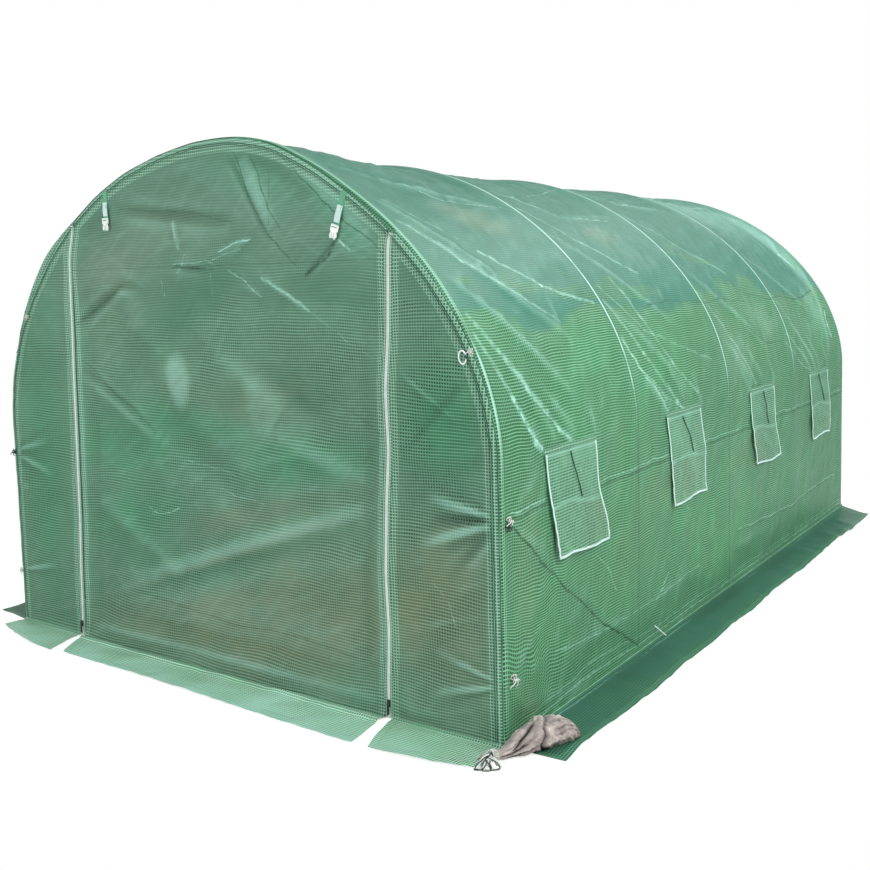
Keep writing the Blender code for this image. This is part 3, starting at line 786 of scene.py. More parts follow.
        # Painted light and shade: pale folds, creases, patches and crests take the bent colour, partly
        # crease whitening; dark ones the hollow.
        pale = (tone + light).at_least(0.0) + 0.9 * crest + above * height.step(1.80, 1.45) * self.haze
        colour = tree.mix(pale, colour, self.bent)
        dark = ((tone + light) * -1.0).at_least(0.0) + 0.30 * beside
        colour = tree.mix(dark, colour, self.hollow)
        opaque = self.body + 0.10 * grid + 0.10 * hem + 0.25 * ground + 0.3 * pale + 0.2 * seam
        opaque = tree.maths("MINIMUM", opaque, 0.97)
        normal = tree.bump(grid * 0.35 + fine * 0.6 + patch * 0.6, 0.0022, 0.8)
        surface = tree.principled(Base_Color=colour, Roughness=0.30 + 0.22 * patch, Normal=normal,
                                  Specular_IOR_Level=0.22)
        middle = tuple((a + b) / 2 for a, b in zip(self.deep, self.clear))
        through = tree.node("ShaderNodeBsdfTranslucent", None, {"Color": middle})
        lit = tree.node("ShaderNodeMixShader", None, {0: self.glow, 1: surface, 2: through})
        clear = tree.node("ShaderNodeBsdfTransparent", None, {"Color": (1.0, 1.0, 1.0)})
        return tree.finish(tree.node("ShaderNodeMixShader", None, {0: opaque, 1: clear, 2: lit}))


# Fine lines on the cover, mirrored over the ridge: paleness (crease whitening and painted highlight,
# or painted shade below 0), width, and the places (y, distance from the foot) that each one runs through.
COVER_CREASES = (
    (.5, .004, -1.607, 2.204, -1.501, 2.14, -1.447, 2.055, -1.215, 1.997, -1.06, 1.987),
    (.45, .004, -.94, 2.311, -.908, 2.18, -.766, 2.112, -.585, 2.112),
    (.55, .004, -.766, 2.112, -.574, 1.984, -.172, 1.949),
    (.45, .004, -.532, 2.204, -.054, 2.341),
    (.4, .006, -1.859, 1.977, -1.621, 1.771),
    (.24, .012, -1.923, 1.829, -1.75, 1.634, -1.502, 1.462, -1.363, 1.359),
    (.35, .004, -1.004, 1.804, -.82, 1.713, -.739, 1.635),
    (.22, .01, -.929, 1.498, -.725, 1.28, -.135, 1.1),
    (.26, .009, -.977, 1.256, -.876, 1.109, -.704, .981),
    (.3, .009, .984, 1.158, 1.314, .928),
    (.34, .018, -1.95, 1.33, -1.858, 1.102, -1.76, .95, -1.67, .872),
    (.35, .005, -1.858, 1.102, -1.802, 1.003, -1.724, .922, -1.67, .872),
    (.34, .018, -1.93, 1.4, -1.76, 1.13, -1.6, .98, -1.506, .905),
    (.3, .004, -1.734, 1.088, -1.659, 1.028, -1.557, .946, -1.506, .905),
    (.3, .016, -.96, 1.42, -.82, 1.18, -.6, .96, -.52, .905),
    (.28, .014, -.97, 1.25, -.86, 1.08, -.7, .93),
    (.26, .014, .02, 1.44, .18, 1.18, .4, .93),
    (.26, .014, 1.02, 1.4, 1.18, 1.16, 1.4, .93),
    (.42, .0035, -1.66, .2, -1.22, .17, -.923, .168, -.363, .195),
    (.6, .005, -.784, .188, -.682, .239),
    (-.85, .008, -1.95, .716, -1.56, .4, -1.29, .2, -1.01, .03),
    (.5, .004, -1.94, .744, 1.96, .744),
    (-.6, .009, -1.94, .726, 1.96, .726),
    (-.55, .008, -1.004, .04, -.992, .56, -1, 1.05),
    (-.65, .007, 0, .04, .004, 1),
    (-.4, .007, 1, .04, 1.004, 1),
    (.45, .003, -1.33, .47, -1.24, .4, -1.18, .3),
    (.3, .003, -.62, .64, -.44, .42),
    (.4, .012, -1.56, 1.7, -1.33, 1.52, -1.05, 1.42),
    (.3, .014, -.96, 2.05, -.7, 1.76, -.42, 1.58),
    (.3, .014, .04, 2.1, .3, 1.78, .62, 1.56),
    (.45, .005, .06, 2.33, .42, 2.21, .8, 2.16),
    (.45, .005, .16, 2.44, .62, 2.33, .94, 2.3),
    (.45, .005, 1.06, 2.46, 1.42, 2.38, 1.82, 2.3),
    (.4, .006, -1.88, .012, -1.5, .05, -1, .03, 1.96, .03),
    (.28, .005, -1.86, .05, -1.4, .09, -.9, .055, 1.96, .05),
    (.34, .006, -1.8, -.022, -1, -.03, 1.8, -.026),
    (-.4, .007, -.6, 1.385, -.3, 1.41, .04, 1.375, .3, 1.4, .62, 1.372),
    (-.45, .008, .68, 1.42, .96, 1.36, 1.18, 1.385, 1.5, 1.35, 1.8, 1.4),
    (.3, .016, -.761, 1.536, -.692, 1.343, -.574, 1.117, -.371, .977),
    (.5, .004, -.961, 1.266, -.905, 1.131, -.68, .98, -.499, .905),
    (-.55, .006, .446, 1.232, .632, 1.127, .912, 1.118),
    (.8, .012, 1.788, 1.698, 1.836, 1.578),
    (.4, .005, .933, 1.108, 1.134, .977, 1.323, .912),
    (.8, .014, 1.871, 1.245, 1.814, 1.158, 1.831, 1.091),
    (.4, .005, .148, .244, .536, .228, .973, .209, 1.472, .23, 1.839, .239),
    (-.45, .005, .148, .232, .536, .216, .973, .197, 1.472, .218, 1.839, .227),
)
# The same on the front, with places (x, z).
FRONT_CREASES = (
    (.42, .003, -.158, 1.736, -.15, 1.68, -.132, 1.623),
    (.8, .0035, .084, 1.604, .16, 1.636, .252, 1.652),
    (.42, .004, .05, 1.572, .12, 1.596, .2, 1.615),
    (-.65, .0045, -.182, 1.564, -.06, 1.556, .053, 1.536),
    (.45, .003, -.175, 1.574, -.05, 1.572, .01, 1.58, .066, 1.548),
    (.4, .003, -.1, 1.612, -.12, 1.57, -.15, 1.54),
    (.5, .0035, .132, 1.53, .22, 1.5, .29, 1.449),
    (.55, .0025, -.244, 1.512, -.231, 1.446),
    (.35, .003, .036, 1.525, .034, 1.414),
    (-.5, .005, .185, 1.96, .25, 1.8, .345, 1.66, .465, 1.547),
    (-.42, .005, .262, 1.95, .32, 1.82, .4, 1.68),
    (.4, .008, .299, 1.513, .42, 1.45, .513, 1.391),
    (.22, .004, .513, 1.391, .68, 1.29, .83, 1.225),
    (-.55, .011, .66, 1.64, .62, 1.58, .511, 1.515),
    (-.42, .005, .42, 1.93, .6, 1.76, .8, 1.62, .87, 1.56),
    (-.2, .004, .345, 1.954, .352, 1.8, .35, 1.7),
    (-.26, .006, -.459, 1.79, -.15, 1.77, .154, 1.714),
    (-.3, .012, -.479, 1.488, -.775, 1.344),
    (-.36, .005, -.77, 1.182, -.56, 1.05, -.349, .922),
    (-.2, .006, .373, 1.182, .6, 1.08, .845, .962),
    (.6, .0035, -.405, .607, -.35, .585, -.291, .599, -.23, .625),
    (.45, .003, -.003, .722, .072, .694, .172, .693, .249, .674, .283, .652),
    (.3, .004, -.164, .809, -.042, .788, .076, .767),
    (-.28, .004, -1.219, .806, -1.04, .83, -.854, .874),
    (-.26, .004, -1.239, .62, -1.056, .54),
    (-.14, .008, -.528, .247, .057, .19, .42, .2, .809, .174),
    (.55, .007, .666, 1.626, .69, 1.606, .713, 1.591),
    (.35, .003, 1.02, .5, 1.08, .44, 1.11, .37),
)


@dataclass(frozen=True)
class PlainFinish:
    """A solid finish with clouds of a second colour, a grain and worn spots."""

    name: str
    colour: Colour
    second: Colour
    roughness: float = 0.5
    metallic: float = 0.0
    scale: float = 40.0
    grain: float = 0.0004

    def material(self) -> Material:
        """Builds the shader.

        Returns:
            The material.
        """
        tree = Shader(self.name)
        place = tree.place()
        cloud = tree.noise(place, self.scale, 4.0, 0.6)
        fleck = tree.noise(place, self.scale * 9.0, 3.0, 0.55)
        colour = tree.mix(cloud.step(0.35, 0.7), self.colour, self.second)
        rough = self.roughness + 0.22 * (fleck - 0.5) + 0.1 * cloud
        normal = tree.bump(fleck + 0.5 * cloud, self.grain, 0.7)
        return tree.finish(tree.principled(Base_Color=colour, Roughness=rough, Normal=normal,
                                           Metallic=self.metallic))


@dataclass(frozen=True)
class WovenFinish:
    """Woven webbing, tape or cloth, ribbed across its run by the cloth attribute."""

    name: str
    colour: Colour
    second: Colour
    rib: float = 0.0022
    soil: Colour = (0.2, 0.16, 0.12)
    soiled: float = 0.15

    def material(self) -> Material:
        """Builds the shader.

        Returns:
            The material.
        """
        tree = Shader(self.name)
        u, v, _ = tree.split(tree.attribute("cloth"))
        place = tree.place()
        cloud = tree.noise(place, 28.0, 4.0, 0.6)
        weave = tree.maths("SINE", u * (2 * math.pi / self.rib))
        weft = tree.maths("SINE", v * (2 * math.pi / self.rib))
        height = weave * weft
        colour = tree.mix((0.5 + 0.5 * height) * 0.8, self.colour, self.second)
        colour = tree.mix(cloud.step(0.5, 0.8) * self.soiled, colour, self.soil)
        normal = tree.bump(height + cloud, self.rib * 0.25, 0.9)
        return tree.finish(tree.principled(Base_Color=colour, Roughness=0.72 + 0.15 * cloud,
                                           Normal=normal))


@dataclass(frozen=True)
class NetFinish:
    """Fine netting, open between its threads."""

    name: str = "window_net"
    colour: Colour = srgb(118, 150, 132)
    pitch: float = 0.0045

    def material(self) -> Material:
        """Builds the shader.

        Returns:
            The material.
        """
        tree = Shader(self.name)
        place = tree.place()
        _, y, z = tree.split(place)
        grid = tree.maths("MAXIMUM", tree.threads(y, self.pitch, 0.55), tree.threads(z, self.pitch, 0.55))
        cloud = tree.noise(place, 9.0, 3.0)
        colour = tree.mix(cloud, self.colour, srgb(165, 190, 175))
        body = tree.principled(Base_Color=colour, Roughness=0.6 + 0.2 * cloud,
                               Normal=tree.bump(grid, 0.0006))
        clear = tree.node("ShaderNodeBsdfTransparent", None, {"Color": (1.0, 1.0, 1.0)})
        return tree.finish(tree.node("ShaderNodeMixShader", None, {0: grid * 0.85, 1: clear, 2: body}))


@dataclass(frozen=True)
class SackFinish:
    """Washed cotton of the ballast sack, with painted shade in its folds."""

    name: str = "sack_cotton"
    colour: Colour = srgb(166, 156, 152)
    shade: Colour = srgb(42, 36, 36)
    sand: Colour = srgb(206, 196, 190)

    def material(self) -> Material:
        """Builds the shader, darker by the painted shade that the cloth attribute carries for folds and the
        underside.

        Returns:
            The material.
        """
        tree = Shader(self.name)
        u, v, deep = tree.split(tree.attribute("cloth"))
        place = tree.place()
        cloud = tree.noise(place, 14.0, 5.0, 0.6)
        thread = tree.maths("SINE", u * 2600.0) * tree.maths("SINE", v * 2600.0)
        slub = tree.noise(place, 240.0, 3.0, 0.7)
        colour = tree.mix(cloud.step(0.35, 0.7), self.colour, self.sand)
        colour = tree.mix(deep, colour, self.shade)
        colour = tree.mix(slub.step(0.5, 0.8) * 0.25, colour, self.shade)
        normal = tree.bump(thread * 0.3 + slub + cloud * 2.0, 0.0009, 0.9)
        return tree.finish(tree.principled(Base_Color=colour, Roughness=0.86 + 0.1 * (slub - 0.5),
                                           Normal=normal))


@dataclass(frozen=True)
class CordFinish:
    """Twisted cord of two colours."""

    name: str
    colour: Colour
    second: Colour

    def material(self) -> Material:
        """Builds the shader, with the lay of the strands from the cloth attribute.

        Returns:
            The material.
        """
        tree = Shader(self.name)
        u, v, _ = tree.split(tree.attribute("cloth"))
        strand = 0.5 + 0.5 * tree.maths("SINE", u * 900.0 + v * 6.283)
        fuzz = tree.noise(tree.place(), 320.0, 2.0)
        colour = tree.mix(strand, self.colour, self.second)
        colour = tree.mix(fuzz.step(0.55, 0.8) * 0.3, colour, (0.25, 0.24, 0.2))
        normal = tree.bump(strand + 0.4 * fuzz, 0.0005, 0.9)
        return tree.finish(tree.principled(Base_Color=colour, Roughness=0.7 + 0.2 * fuzz, Normal=normal))


class Finishes:
    """Every material of the tunnel, made once."""

    def __init__(self) -> None:
        """Makes them all."""
        shared = dict(thread=srgb(166, 220, 190), warm=srgb(128, 134, 104), cool=srgb(50, 148, 98),
                      lying=srgb(136, 200, 160))
        # The cover's sky is a painted sky light, its haze a painted paleness, and its dark lying colour a
        # painted shade.
        self.cover = FilmFinish("cover_woven_film", srgb(32, 102, 58), srgb(66, 144, 92),
                                sky=srgb(8, 112, 98), body=0.82, ground_weave=-0.60, weave=0.84,
                                creases=crease_rows(COVER_CREASES), weft=0.90, mirror=GIRTH / 2, haze=0.07,
                                **(shared | dict(lying=srgb(44, 98, 86), thread=srgb(142, 208, 164)))
                                ).material()
        # The ends' lying colour is a painted light on their skirts.
        gable = shared | dict(deep=srgb(92, 134, 110), clear=srgb(118, 166, 140), sky=srgb(106, 152, 130),
                              lying=srgb(84, 168, 112), weave=0.50, weft=0.55, ground_weave=0.80)
        self.gable = FilmFinish("gable_woven_film", creases=crease_rows(FRONT_CREASES), **gable).material()
        self.back = FilmFinish("back_woven_film", **gable).material()
        self.flap = FilmFinish("flap_woven_film", srgb(90, 154, 116), srgb(126, 188, 152), **shared,
                               sky=srgb(104, 166, 132), body=0.54, weave=0.66, weft=0.45).material()
        self.edging = WovenFinish("hem_edging", srgb(190, 230, 222), srgb(244, 254, 254),
                                  soiled=0.05).material()
        self.piping = WovenFinish("dark_piping", srgb(24, 74, 50), srgb(50, 116, 80)).material()
        self.tape = WovenFinish("zip_tape_weave", srgb(232, 238, 234), srgb(254, 255, 254),
                                soiled=0.05).material()
        self.webbing = WovenFinish("strap_webbing", srgb(58, 150, 108), srgb(140, 204, 172)).material()
        self.teeth = PlainFinish("zip_coil", srgb(232, 238, 232), srgb(210, 220, 212), 0.42).material()
        self.tube = PlainFinish("galvanised_tube_spangle", srgb(168, 172, 172), srgb(128, 134, 136),
                                0.42, 0.85, 60.0).material()
        self.clamp = PlainFinish("moulded_clamp", srgb(38, 52, 44), srgb(52, 70, 60), 0.5).material()
        self.slider = PlainFinish("enamelled_slider", srgb(34, 36, 36), srgb(70, 72, 70), 0.4,
                                  0.5).material()
        self.buckle = PlainFinish("moulded_buckle", srgb(236, 238, 236), srgb(212, 218, 214),
                                  0.38).material()
        self.stitch = PlainFinish("pale_stitching", srgb(214, 238, 226), srgb(176, 212, 194),
                                  0.7).material()
        self.dark_stitch = PlainFinish("green_stitching", srgb(40, 96, 68), srgb(60, 120, 88),
                                       0.7).material()
        self.white_cord = CordFinish("white_cord", srgb(226, 228, 222), srgb(160, 166, 160)).material()
        self.dark_cord = CordFinish("dark_cord", srgb(18, 34, 28), srgb(44, 66, 56)).material()
        self.net = NetFinish().material()
        self.sack = SackFinish().material()


def shown(name: str, data: ID) -> Object:
    """Puts a new object in the scene.

    Args:
        name: its name.
        data: its mesh, lamp or camera.

    Returns:
        The object, at the origin.
    """
    made = bpy.data.objects.new(name, data)
    bpy.context.scene.collection.objects.link(made)
    return made


def mesh_object(name: str, points: Array, faces: Any, finish: Material,
                fields: dict[str, Array] | None = None, crease: float = 50.0) -> Object:
    """A shown object from points and faces.

    Args:
        name: its name.
        points: N rows of three.
        faces: point numbers of each face.
        finish: its material.
        fields: vectors that the mesh carries for its material, N rows of three each.
        crease: the angle in degrees over which an edge stays sharp.

    Returns:
        The object, at the origin.
    """
    mesh = bpy.data.meshes.new(name)
    mesh.from_pydata(np.asarray(points, float).tolist(), [], faces)
    for key, values in (fields or {}).items():
        layer = mesh.attributes.new(key, "FLOAT_VECTOR", "POINT")
        layer.data.foreach_set("vector", np.asarray(values, np.float32).ravel())
    mesh.shade_smooth()
    mesh.set_sharp_from_angle(angle=math.radians(crease))
    mesh.materials.append(finish)
    return shown(name, mesh)


def grid_faces(rows: int, columns: int, closed: bool = False) -> Array:
    """Quads of a grid of points, whose outer side has the columns to the right and the rows upwards.

    Args:
        rows, columns: how many points it has each way.
        closed: whether the last column is joined to the first.

    Returns:
        Point numbers, rows by columns by four.
    """
    numbers = np.arange(rows * columns).reshape(rows, columns)
    if closed:
        numbers = np.concatenate([numbers, numbers[:, :1]], 1)
    return np.stack([numbers[:-1, :-1], numbers[:-1, 1:], numbers[1:, 1:], numbers[1:, :-1]], -1)


def point_normals(points: Array, faces: Array) -> Array:
    """The mean direction of the faces round each point.

    Args:
        points: N rows of three.
        faces: quads.

    Returns:
        N rows of three.
    """
    normals = np.zeros_like(points)
    crossed = np.cross(points[faces[:, 2]] - points[faces[:, 0]], points[faces[:, 3]] - points[faces[:, 1]])
    for corner in range(4):
        np.add.at(normals, faces[:, corner], crossed)
    lengths = np.linalg.norm(normals, axis=1)
    return normals / np.where(lengths > 0, lengths, 1)[:, None]


def shell(name: str, grid: Array, fields: dict[str, Array], finish: Material,
          wall: float = 0.001, flip: bool = False, keep: Any = ...) -> Object:
    """A closed sheet from a grid of points on its outer side.

    Args:
        name: its name.
        grid: rows by columns by three.
        fields: what the mesh carries, with the grid's shape.
        finish: its material.
        wall: its thickness.
        flip: for a grid whose outer side has its columns to the left.
        keep: which of the cells are there, for a sheet with holes.

    Returns:
        The object.
    """
    faces = grid_faces(*grid.shape[:2])[keep].reshape(-1, 4)
    if flip:
        faces = faces[:, ::-1]
    points = grid.reshape(-1, 3)
    inner = points - point_normals(points, faces) * wall
    used = np.unique(faces)
    count = len(used)
    renumber = np.full(len(points), -1)
    renumber[used] = np.arange(count)
    faces = renumber[faces]
    edges = np.concatenate([faces[:, [a, (a + 1) % 4]] for a in range(4)])
    keys = edges[:, 0] * (count + 1) + edges[:, 1]
    rim = edges[~np.isin(edges[:, 1] * (count + 1) + edges[:, 0], keys)]
    sides = np.stack([rim[:, 1], rim[:, 0], rim[:, 0] + count, rim[:, 1] + count], 1)
    quads = np.concatenate([faces, faces[:, ::-1] + count, sides])
    carried = {key: np.tile(values.reshape(-1, 3)[used], (2, 1)) for key, values in fields.items()}
    return mesh_object(name, np.concatenate([points[used], inner[used]]), quads.tolist(), finish, carried)


def frames(path: Array) -> tuple[Array, Array]:
    """Two sideways directions along a path, which turn as little as they can.

    Args:
        path: its points.

    Returns:
        Both directions at each point.
    """
    tangent = unit(np.gradient(path, axis=0))
    first = np.zeros_like(path)
    start = np.array([0.0, 0.0, 1.0])
    if abs(tangent[0] @ start) > 0.95:
        start = np.array([1.0, 0.0, 0.0])
    for index, along in enumerate(tangent):
        start = unit(start - along * (start @ along))
        first[index] = start
    return first, np.cross(tangent, first)


def tube(name: str, path: Array, radius: float, finish: Material,
         sides: int = 8) -> Object:
    """A round cord or bead along a path, closed at both ends.

    Args:
        name: its name.
        path: its middle line.
        radius: half its thickness.
        finish: its material.
        sides: how many points it has round it.

    Returns:
        The object.
    """
    count = len(path)
    first, second = frames(path)
    turns = np.linspace(0, 2 * math.pi, sides, endpoint=False)
    ring = np.cos(turns)[:, None] * first[:, None] + np.sin(turns)[:, None] * second[:, None]
    points = (path[:, None] + ring * radius).reshape(-1, 3)
    faces = grid_faces(count, sides, True).reshape(-1, 4).tolist()
    faces += [list(range(sides))[::-1], list(range((count - 1) * sides, count * sides))]
    cloth = vectors(np.repeat(run_of(path), sides), np.tile(turns / (2 * math.pi), count), 0.0)
    return mesh_object(name, points, faces, finish, {"cloth": cloth}, 60)


def ribbon(name: str, path: Array, out: Any, width: float, thick: float, finish: Material,
           columns: int = 5, edge: float = 0.1) -> Object:
    """A flat strip along a path, with its outer face towards out.

    Args:
        name: its name.
        path: its middle line, on its outer face.
        out: a direction for each point, away from what it lies on.
        width: across the strip.
        thick: its thickness.
        finish: its material.
        columns: how many points it has across.
        edge: the distance from a hem that its film shows.

    Returns:
        The object.
    """
    across = unit(np.cross(unit(np.gradient(path, axis=0)), np.broadcast_to(out, path.shape)))
    places = np.linspace(-0.5, 0.5, columns) * width
    grid = path[:, None] + across[:, None] * places[:, None]
    cloth = vectors(run_of(path)[:, None], places, edge)
    worn = vectors(np.zeros(grid.shape[:2]), 1.0, 0.0)
    return shell(name, grid, {"cloth": cloth, "worn": worn}, finish, thick)


def joined(name: str, pieces: Sequence[Object]) -> Object:
    """Several objects of one finish as one.

    Args:
        name: the new object's name.
        pieces: the objects, which it takes the place of.

    Returns:
        The object.
    """
    work = bmesh.new()
    for piece in pieces:
        work.from_mesh(piece.data)
    mesh = bpy.data.meshes.new(name)
    work.to_mesh(mesh)
    work.free()
    mesh.materials.append(pieces[0].data.materials[0])
    for piece in pieces:
        bpy.data.objects.remove(piece, do_unlink=True)
    return shown(name, mesh)


def turn_outwards(mesh: Mesh) -> None:
    """Makes every face of a closed mesh look outwards.

    Args:
        mesh: the mesh.
    """
    work = bmesh.new()
    work.from_mesh(mesh)
    bmesh.ops.recalc_face_normals(work, faces=work.faces)
    work.to_mesh(mesh)
    work.free()


def knot(size: float, depth: float, count: int) -> Array:
    """A trefoil knot that lies across Z.

    Args:
        size: how far it reaches from its middle.
        depth: how many times flatter it is along Z.
        count: its points and one more.

    Returns:
        Points round it.
    """
    turn = np.linspace(0, 2 * math.pi, count)[:-1]
    far = 2 + np.cos(3 * turn)
    return vectors(far * np.cos(2 * turn) / 3, far * np.sin(2 * turn) / 3, np.sin(3 * turn) / depth) * size


class Repeater:
    """A Geometry Nodes tree that sets a small piece along paths, at a pitch."""

    def __init__(self) -> None:
        """Makes the tree."""
        self.tree = bpy.data.node_groups.new("repeat_along_path", "GeometryNodeTree")
        face = self.tree.interface
        face.new_socket("Paths", in_out="INPUT", socket_type="NodeSocketGeometry")
        self.inputs = {}
        for name, kind in (("Piece", "Object"), ("Pitch", "Float"), ("Finish", "Material")):
            made = face.new_socket(name, in_out="INPUT", socket_type=f"NodeSocket{kind}")
            self.inputs[name] = made.identifier
        face.new_socket("Pieces", in_out="OUTPUT", socket_type="NodeSocketGeometry")
        given = self._add("NodeGroupInput")
        curve = self._add("GeometryNodeMeshToCurve", {0: given.outputs["Paths"]})
        spaced = self._add("GeometryNodeResampleCurve", {"Curve": curve.outputs[0],
                                                         "Length": given.outputs["Pitch"]}, mode="LENGTH")
        tangent = self._add("GeometryNodeInputTangent")
        out = self._add("GeometryNodeInputNamedAttribute", data_type="FLOAT_VECTOR")
        out.inputs["Name"].default_value = "out"
        turn = self._add("FunctionNodeAlignRotationToVector", {"Vector": tangent.outputs[0]}, axis="X")
        stand = self._add("FunctionNodeAlignRotationToVector",
                          {"Rotation": turn.outputs[0], "Vector": out.outputs[0]}, axis="Z", pivot_axis="X")
        shape = self._add("GeometryNodeObjectInfo", {"Object": given.outputs["Piece"]})
        placed = self._add("GeometryNodeInstanceOnPoints", {"Points": spaced.outputs[0],
                                                            "Instance": shape.outputs["Geometry"],
                                                            "Rotation": stand.outputs[0]})
        real = self._add("GeometryNodeRealizeInstances", {0: placed.outputs[0]})
        dressed = self._add("GeometryNodeSetMaterial", {0: real.outputs[0],
                                                        "Material": given.outputs["Finish"]})
        result = self._add("NodeGroupOutput")
        self._link(dressed.outputs[0], result.inputs[0])

    def _add(self, kind: str, links: dict[Any, Any] | None = None, **settings: Any) -> Node:
        """Adds a node.

        Args:
            kind: the node's type.
            links: the socket that feeds each of its inputs.
            settings: its properties.

        Returns:
            The node.
        """
        made = self.tree.nodes.new(kind)
        for key, value in settings.items():
            setattr(made, key, value)
        for key, socket in (links or {}).items():
            self._link(socket, made.inputs[key])
        return made

    def _link(self, start: NodeSocket, end: NodeSocket) -> None:
        """Joins two sockets."""
        self.tree.links.new(start, end)

    def along(self, name: str, paths: Sequence[Array], out: Triple, piece: Mesh,
              pitch: float, finish: Material) -> Object:
        """Copies of a piece along paths, as one plain mesh.

        Args:
            name: the result's name.
            paths: points of each path.
            out: the direction in which the piece's Z stands.
            piece: the small mesh, with its length along X.
            pitch: the spacing in metres.
            finish: the material.

        Returns:
            The object.
        """
        points = np.concatenate(paths)
        starts = set(np.cumsum([len(path) for path in paths]).tolist())
        mesh = bpy.data.meshes.new(name + "_paths")
        mesh.from_pydata(points.tolist(), [(i - 1, i) for i in range(1, len(points)) if i not in starts], [])
        layer = mesh.attributes.new("out", "FLOAT_VECTOR", "POINT")
        layer.data.foreach_set("vector", np.tile(np.array(out, np.float32), len(points)))
        holder, helper = shown(name + "_holder", mesh), shown(name + "_piece", piece)
        modifier = holder.modifiers.new("repeat", "NODES")
        modifier.node_group = self.tree
        for key, value in (("Piece", helper), ("Pitch", pitch), ("Finish", finish)):
            modifier[self.inputs[key]] = value
        bpy.context.view_layer.update()
        graph = bpy.context.evaluated_depsgraph_get()
        result = bpy.data.meshes.new_from_object(holder.evaluated_get(graph))
        if "out" in result.attributes:
            result.attributes.remove(result.attributes["out"])
        for made in (holder, helper):
            bpy.data.objects.remove(made, do_unlink=True)
        result.name = name
        return shown(name, result)


def stitch_mesh(length: float = 0.0042, radius: float = 0.0006) -> Mesh:
    """One stitch: a short thread that dips in at both ends.

    Args:
        length: its length along X.
        radius: half the thread's thickness.

    Returns:
        The mesh.
    """
    turn = np.arange(5) * 2 * math.pi / 5
    stations = ((-0.5, 0.35, -0.6), (-0.3, 1.0, 0.5), (0.3, 1.0, 0.5), (0.5, 0.35, -0.6))
    points = [(share * length, y, z + lift * radius) for share, swell, lift in stations
              for y, z in zip(np.cos(turn) * radius * swell, np.sin(turn) * radius * swell)]
    faces = [[4, 3, 2, 1, 0], [15, 16, 17, 18, 19]] + grid_faces(4, 5, True).reshape(-1, 4).tolist()
    mesh = bpy.data.meshes.new("stitch")
    mesh.from_pydata(points, [], faces)
    turn_outwards(mesh)
    return mesh


def tooth_mesh(length: float = 0.0038, width: float = 0.0078, height: float = 0.0024) -> Mesh:
    """One turn of a zip's coil: a rounded bar across the tape with a step in its middle.

    Args:
        length, width, height: its sizes along X, Y and Z.

    Returns:
        The mesh.
    """
    work = bmesh.new()
    for shift, low in ((-0.25, -0.5), (0.25, 0.0)):
        place = Matrix.Translation((shift * length, (low + 0.25) * width, height / 2))
        size = Matrix.Diagonal((length * 0.46, width * 0.58, height, 1.0))
        bmesh.ops.create_cube(work, size=1, matrix=place @ size)
    top = [edge for edge in work.edges if all(v.co.z > height * 0.9 for v in edge.verts)]
    bmesh.ops.bevel(work, geom=top, offset=0.0005, segments=1, affect="EDGES")
    mesh = bpy.data.meshes.new("tooth")
    work.to_mesh(mesh)
    work.free()
    return mesh


def seat(obj: Object, body: str, slot: str, *nodes: str) -> Object:
    """Puts a piece on its body.

    Args:
        obj: the piece.
        body: what it rides on.
        slot: not used.
        nodes: the solids that it stands for.

    Returns:
        The piece.
    """
    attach(obj, body)
    if nodes:
        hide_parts(*nodes)
    log.info("%s rides on %s", obj.name, body)
    return obj


# Folds of the cover: y and distance from the foot of both ends, height, width, paleness (painted light,
# or painted shade below 0) and kind.
COVER_FOLDS = (
    (-1.6, 2.19, -1.07, 1.97, .01, .022, .15), (-1.93, 2.3, -1.45, 2.12, .008, .02, .1),
    (-.92, 2.25, -.6, 1.98, .01, .02, .14), (-.62, 1.97, -.08, 1.99, .008, .018, .13),
    (-1.94, 1.98, -1.52, 1.5, .013, .03, .08), (-1.93, 1.84, -1.35, 1.28, .013, .03, .07),
    (-1.94, 1.6, -1.45, 1.05, .012, .026, .08), (-1.86, 1.3, -1.62, .92, .009, .02, .09),
    (-.96, 1.78, -.4, 1.3, .012, .03, .09), (-.95, 1.4, -.42, .94, .01, .024, .09),
    (-.94, 1.1, -.62, .92, .008, .018, .08), (.04, 1.6, .62, 1.1, .01, .026, .08),
    (.05, 1.2, .36, .93, .009, .02, .09), (1.04, 1.7, 1.6, 1.25, .01, .026, .08),
    (1.05, 1.25, 1.42, .93, .009, .02, .09), (1.92, 1.6, 1.66, .95, .01, .022, .12),
    (1.94, 1.9, 1.7, 1.55, .01, .02, .14), (.1, 2.42, .62, 2.2, .009, .018, .12),
    (.3, 2.26, .85, 2.12, .008, .018, .1), (1.1, 2.5, 1.62, 2.3, .009, .018, .1),
    (-1.67, .2, -.99, .165, .007, .018, .08), (-.99, .165, -.36, .195, .006, .018, .07),
    (-.3, .2, .9, .15, .006, .02, .04), (-1.97, .71, -1, .03, .004, .012, -.07),
    (-1.96, .735, -1.02, .055, .003, .006, .05), (-1.8, .03, 1.97, .03, 0, .006, .1),
    (-1.7, .058, 1.97, .052, 0, .005, .06), (-1.78, -.022, 1.8, -.03, 0, .008, .08),
    (-1.9, .16, -1.78, .04, .006, .03, -.1, 1), (-1.92, .1, -1.4, .02, .008, .03, .1),
    (-1.97, .22, -1.72, .34, .008, .018, .04), (-1.97, .2, -1.8, .02, .008, .018, .03),
    (-1.97, .74, -1.72, .86, .007, .018, .06), (-1.97, .71, -1.7, .58, .008, .02, .04),
    (-1.97, .73, -1.66, .73, .006, .014, .07), (-1.6, .712, 1.97, .712, .004, .012, .06),
)
